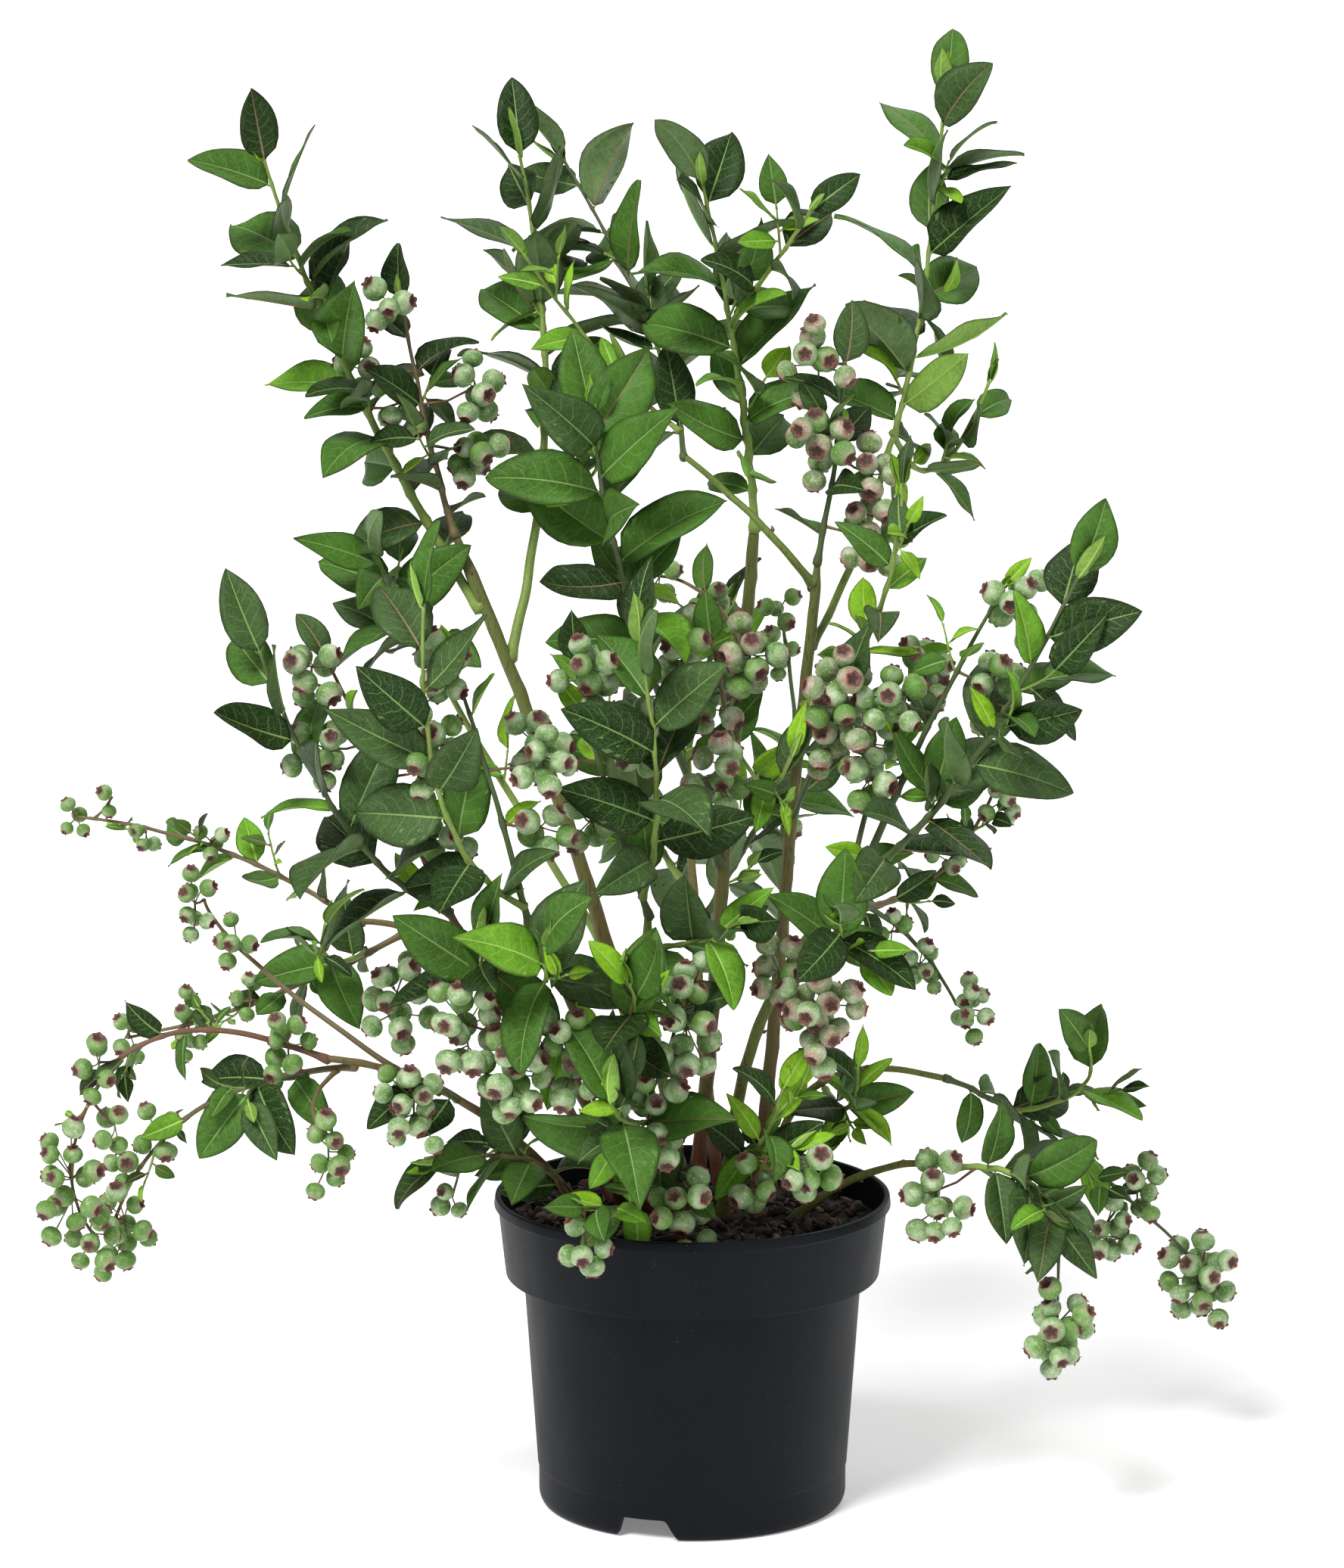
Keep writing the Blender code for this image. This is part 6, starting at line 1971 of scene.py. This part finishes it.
# The body of the mix, down to the pot's floor, with an uneven top
def soilBody(topZ, topRadius, rng):
    count = soil["segments"]
    wallGap, floorGap = soil["wallGap"]
    inside = [(0, pot["discThick"] + floorGap)] + [(r - wallGap, z + floorGap) for r, z in potInside()]
    points, faces = lathe(inside, count)
    waves = [(rng.uniform(*soil["wavePace"]), rng.uniform(0, math.tau), rng.uniform(0, math.tau))
             for _ in range(soil["waves"])]
    start = len(points) - count
    for k in range(soil["rings"] + 1):
        radius = topRadius * (1 - k / (soil["rings"] + 0.7))
        for i in range(count):
            angle = math.tau * i / count
            x, y = radius * math.cos(angle), radius * math.sin(angle)
            rise = sum(math.sin(pace * (x * math.cos(a) + y * math.sin(a)) + b) for pace, a, b in waves) / 4
            points.append((x, y, topZ - soil["sunk"] + soil["bump"] * (rise if k else min(rise, 0))))
    for k in range(soil["rings"] + 1):
        for i in range(count):
            a, b = start + k * count + i, start + k * count + (i + 1) % count
            faces.append((a, b, b + count, a + count))
    end = start + (soil["rings"] + 1) * count
    points.append((0, 0, topZ - soil["sunk"]))
    faces += [(end + i, end + (i + 1) % count, len(points) - 1) for i in range(count)]
    return points, faces


def makeSoil():
    heap = Heap()
    rng = random.Random("mulch")
    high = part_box("potting_mix")[1]
    topRadius = high.x - soil["clear"]
    heap.add(*soilBody(high.z, topRadius, rng), 0)
    verts, faces = ball(Vector((0, 0, 0)), 1.0)
    verts = np.array([tuple(v) for v in verts])
    largeShare, larger = soil["largeChips"]
    for _ in range(soil["chips"]):
        radius = topRadius * math.sqrt(rng.random()) * soil["within"]
        angle = rng.uniform(0, math.tau)
        size = rng.uniform(*soil["chipLength"]) / 2
        size *= larger if rng.random() < largeShare else 1.0
        axis = Vector([rng.uniform(-1, 1), rng.uniform(-1, 1), rng.uniform(-0.5, 0.5)]).normalized()
        turned = turnTo(axis, rng.uniform(0, math.tau))
        scale = np.array((rng.uniform(*soil["chipWidth"]), rng.uniform(*soil["chipThick"]), 1.0)) * size
        rough = np.array([[rng.uniform(*soil["chipRough"])] for _ in verts])
        chip = verts * rough * scale @ turned
        radius = min(radius, topRadius - soil["clear"] - np.linalg.norm(chip[:, :2], axis=1).max())
        rise = rng.uniform(*soil["chipRise"]) * mm
        chip += (radius * math.cos(angle), radius * math.sin(angle), high.z + rise)
        heap.add(chip, faces, rng.choices(range(len(soil["tones"])), soil["toneShares"])[0])
    finishes = [mottled(name, tone, 0.8, amount=0.5, patch=120.0, mottle=900.0, grain=1100.0, depth=0.6 * mm)
                for name, tone in soil["tones"].items()]
    dress(heap.make("barkMulch", finishes, flat=True), ["potting_mix"])


makePot()
makeSoil()
print("pot and potting mix made")


# Studio

studio = {
    "cameraPlace": (-0.0117, -3.2, 1.0076),
    "cameraPitch": 10.45,
    "lens": 132.4,
    "sensor": 36,
    "floorSize": 60.0,
    "floorDrop": 0.4 * mm,
    "floorTone": (0.93, 0.93, 0.93),
    "floorGlow": 0.2,
    "white": (1.0, 1.0, 1.0, 1.0),
    "skyStrength": 0.35,
    "lamps": {  # where it shines from, strength, how soft in degrees
        "keyLight": ((-1.0, -1.5, 2.3), 3.25, 20),
        "fillLight": ((1.6, -1.6, 0.9), 0.4, 80),
        "backLight": ((0.9, 1.6, 1.7), 1.1, 50),
    },
}


def makeFloor():
    half = studio["floorSize"] / 2
    z = -studio["floorDrop"]
    mesh = bpy.data.meshes.new("floor")
    places = [(-half, -half, z), (half, -half, z), (half, half, z), (-half, half, z)]
    mesh.from_pydata(places, [], [(0, 1, 2, 3)])
    floor = addObject("floor", mesh)
    finish, tree, shader = newFinish("floorPaper", 0.9, specular=0.1)
    fill(tree, shader.inputs["Base Color"], studio["floorTone"])
    shader.inputs["Emission Color"].default_value = studio["white"]
    shader.inputs["Emission Strength"].default_value = studio["floorGlow"]
    mesh.materials.append(finish)


def makeStudio():
    scene = bpy.context.scene
    camera = addObject("camera", bpy.data.cameras.new("camera"))
    camera.data.lens = studio["lens"]
    camera.data.sensor_width = studio["sensor"]
    camera.location = studio["cameraPlace"]
    camera.rotation_euler = (math.radians(90 - studio["cameraPitch"]), 0, 0)
    scene.camera = camera
    makeFloor()
    world = bpy.data.worlds.new("softbox")
    world.use_nodes = True
    sky = world.node_tree.nodes["Background"]
    sky.inputs[0].default_value = studio["white"]
    sky.inputs[1].default_value = studio["skyStrength"]
    scene.world = world
    for name, (place, strength, softness) in studio["lamps"].items():
        lamp = addObject(name, bpy.data.lights.new(name, "SUN"))
        lamp.data.energy = strength
        lamp.data.angle = math.radians(softness)
        lamp.location = place
        lamp.rotation_euler = (-Vector(place)).to_track_quat("-Z", "Y").to_euler()
    scene.view_settings.view_transform = "Standard"


makeStudio()
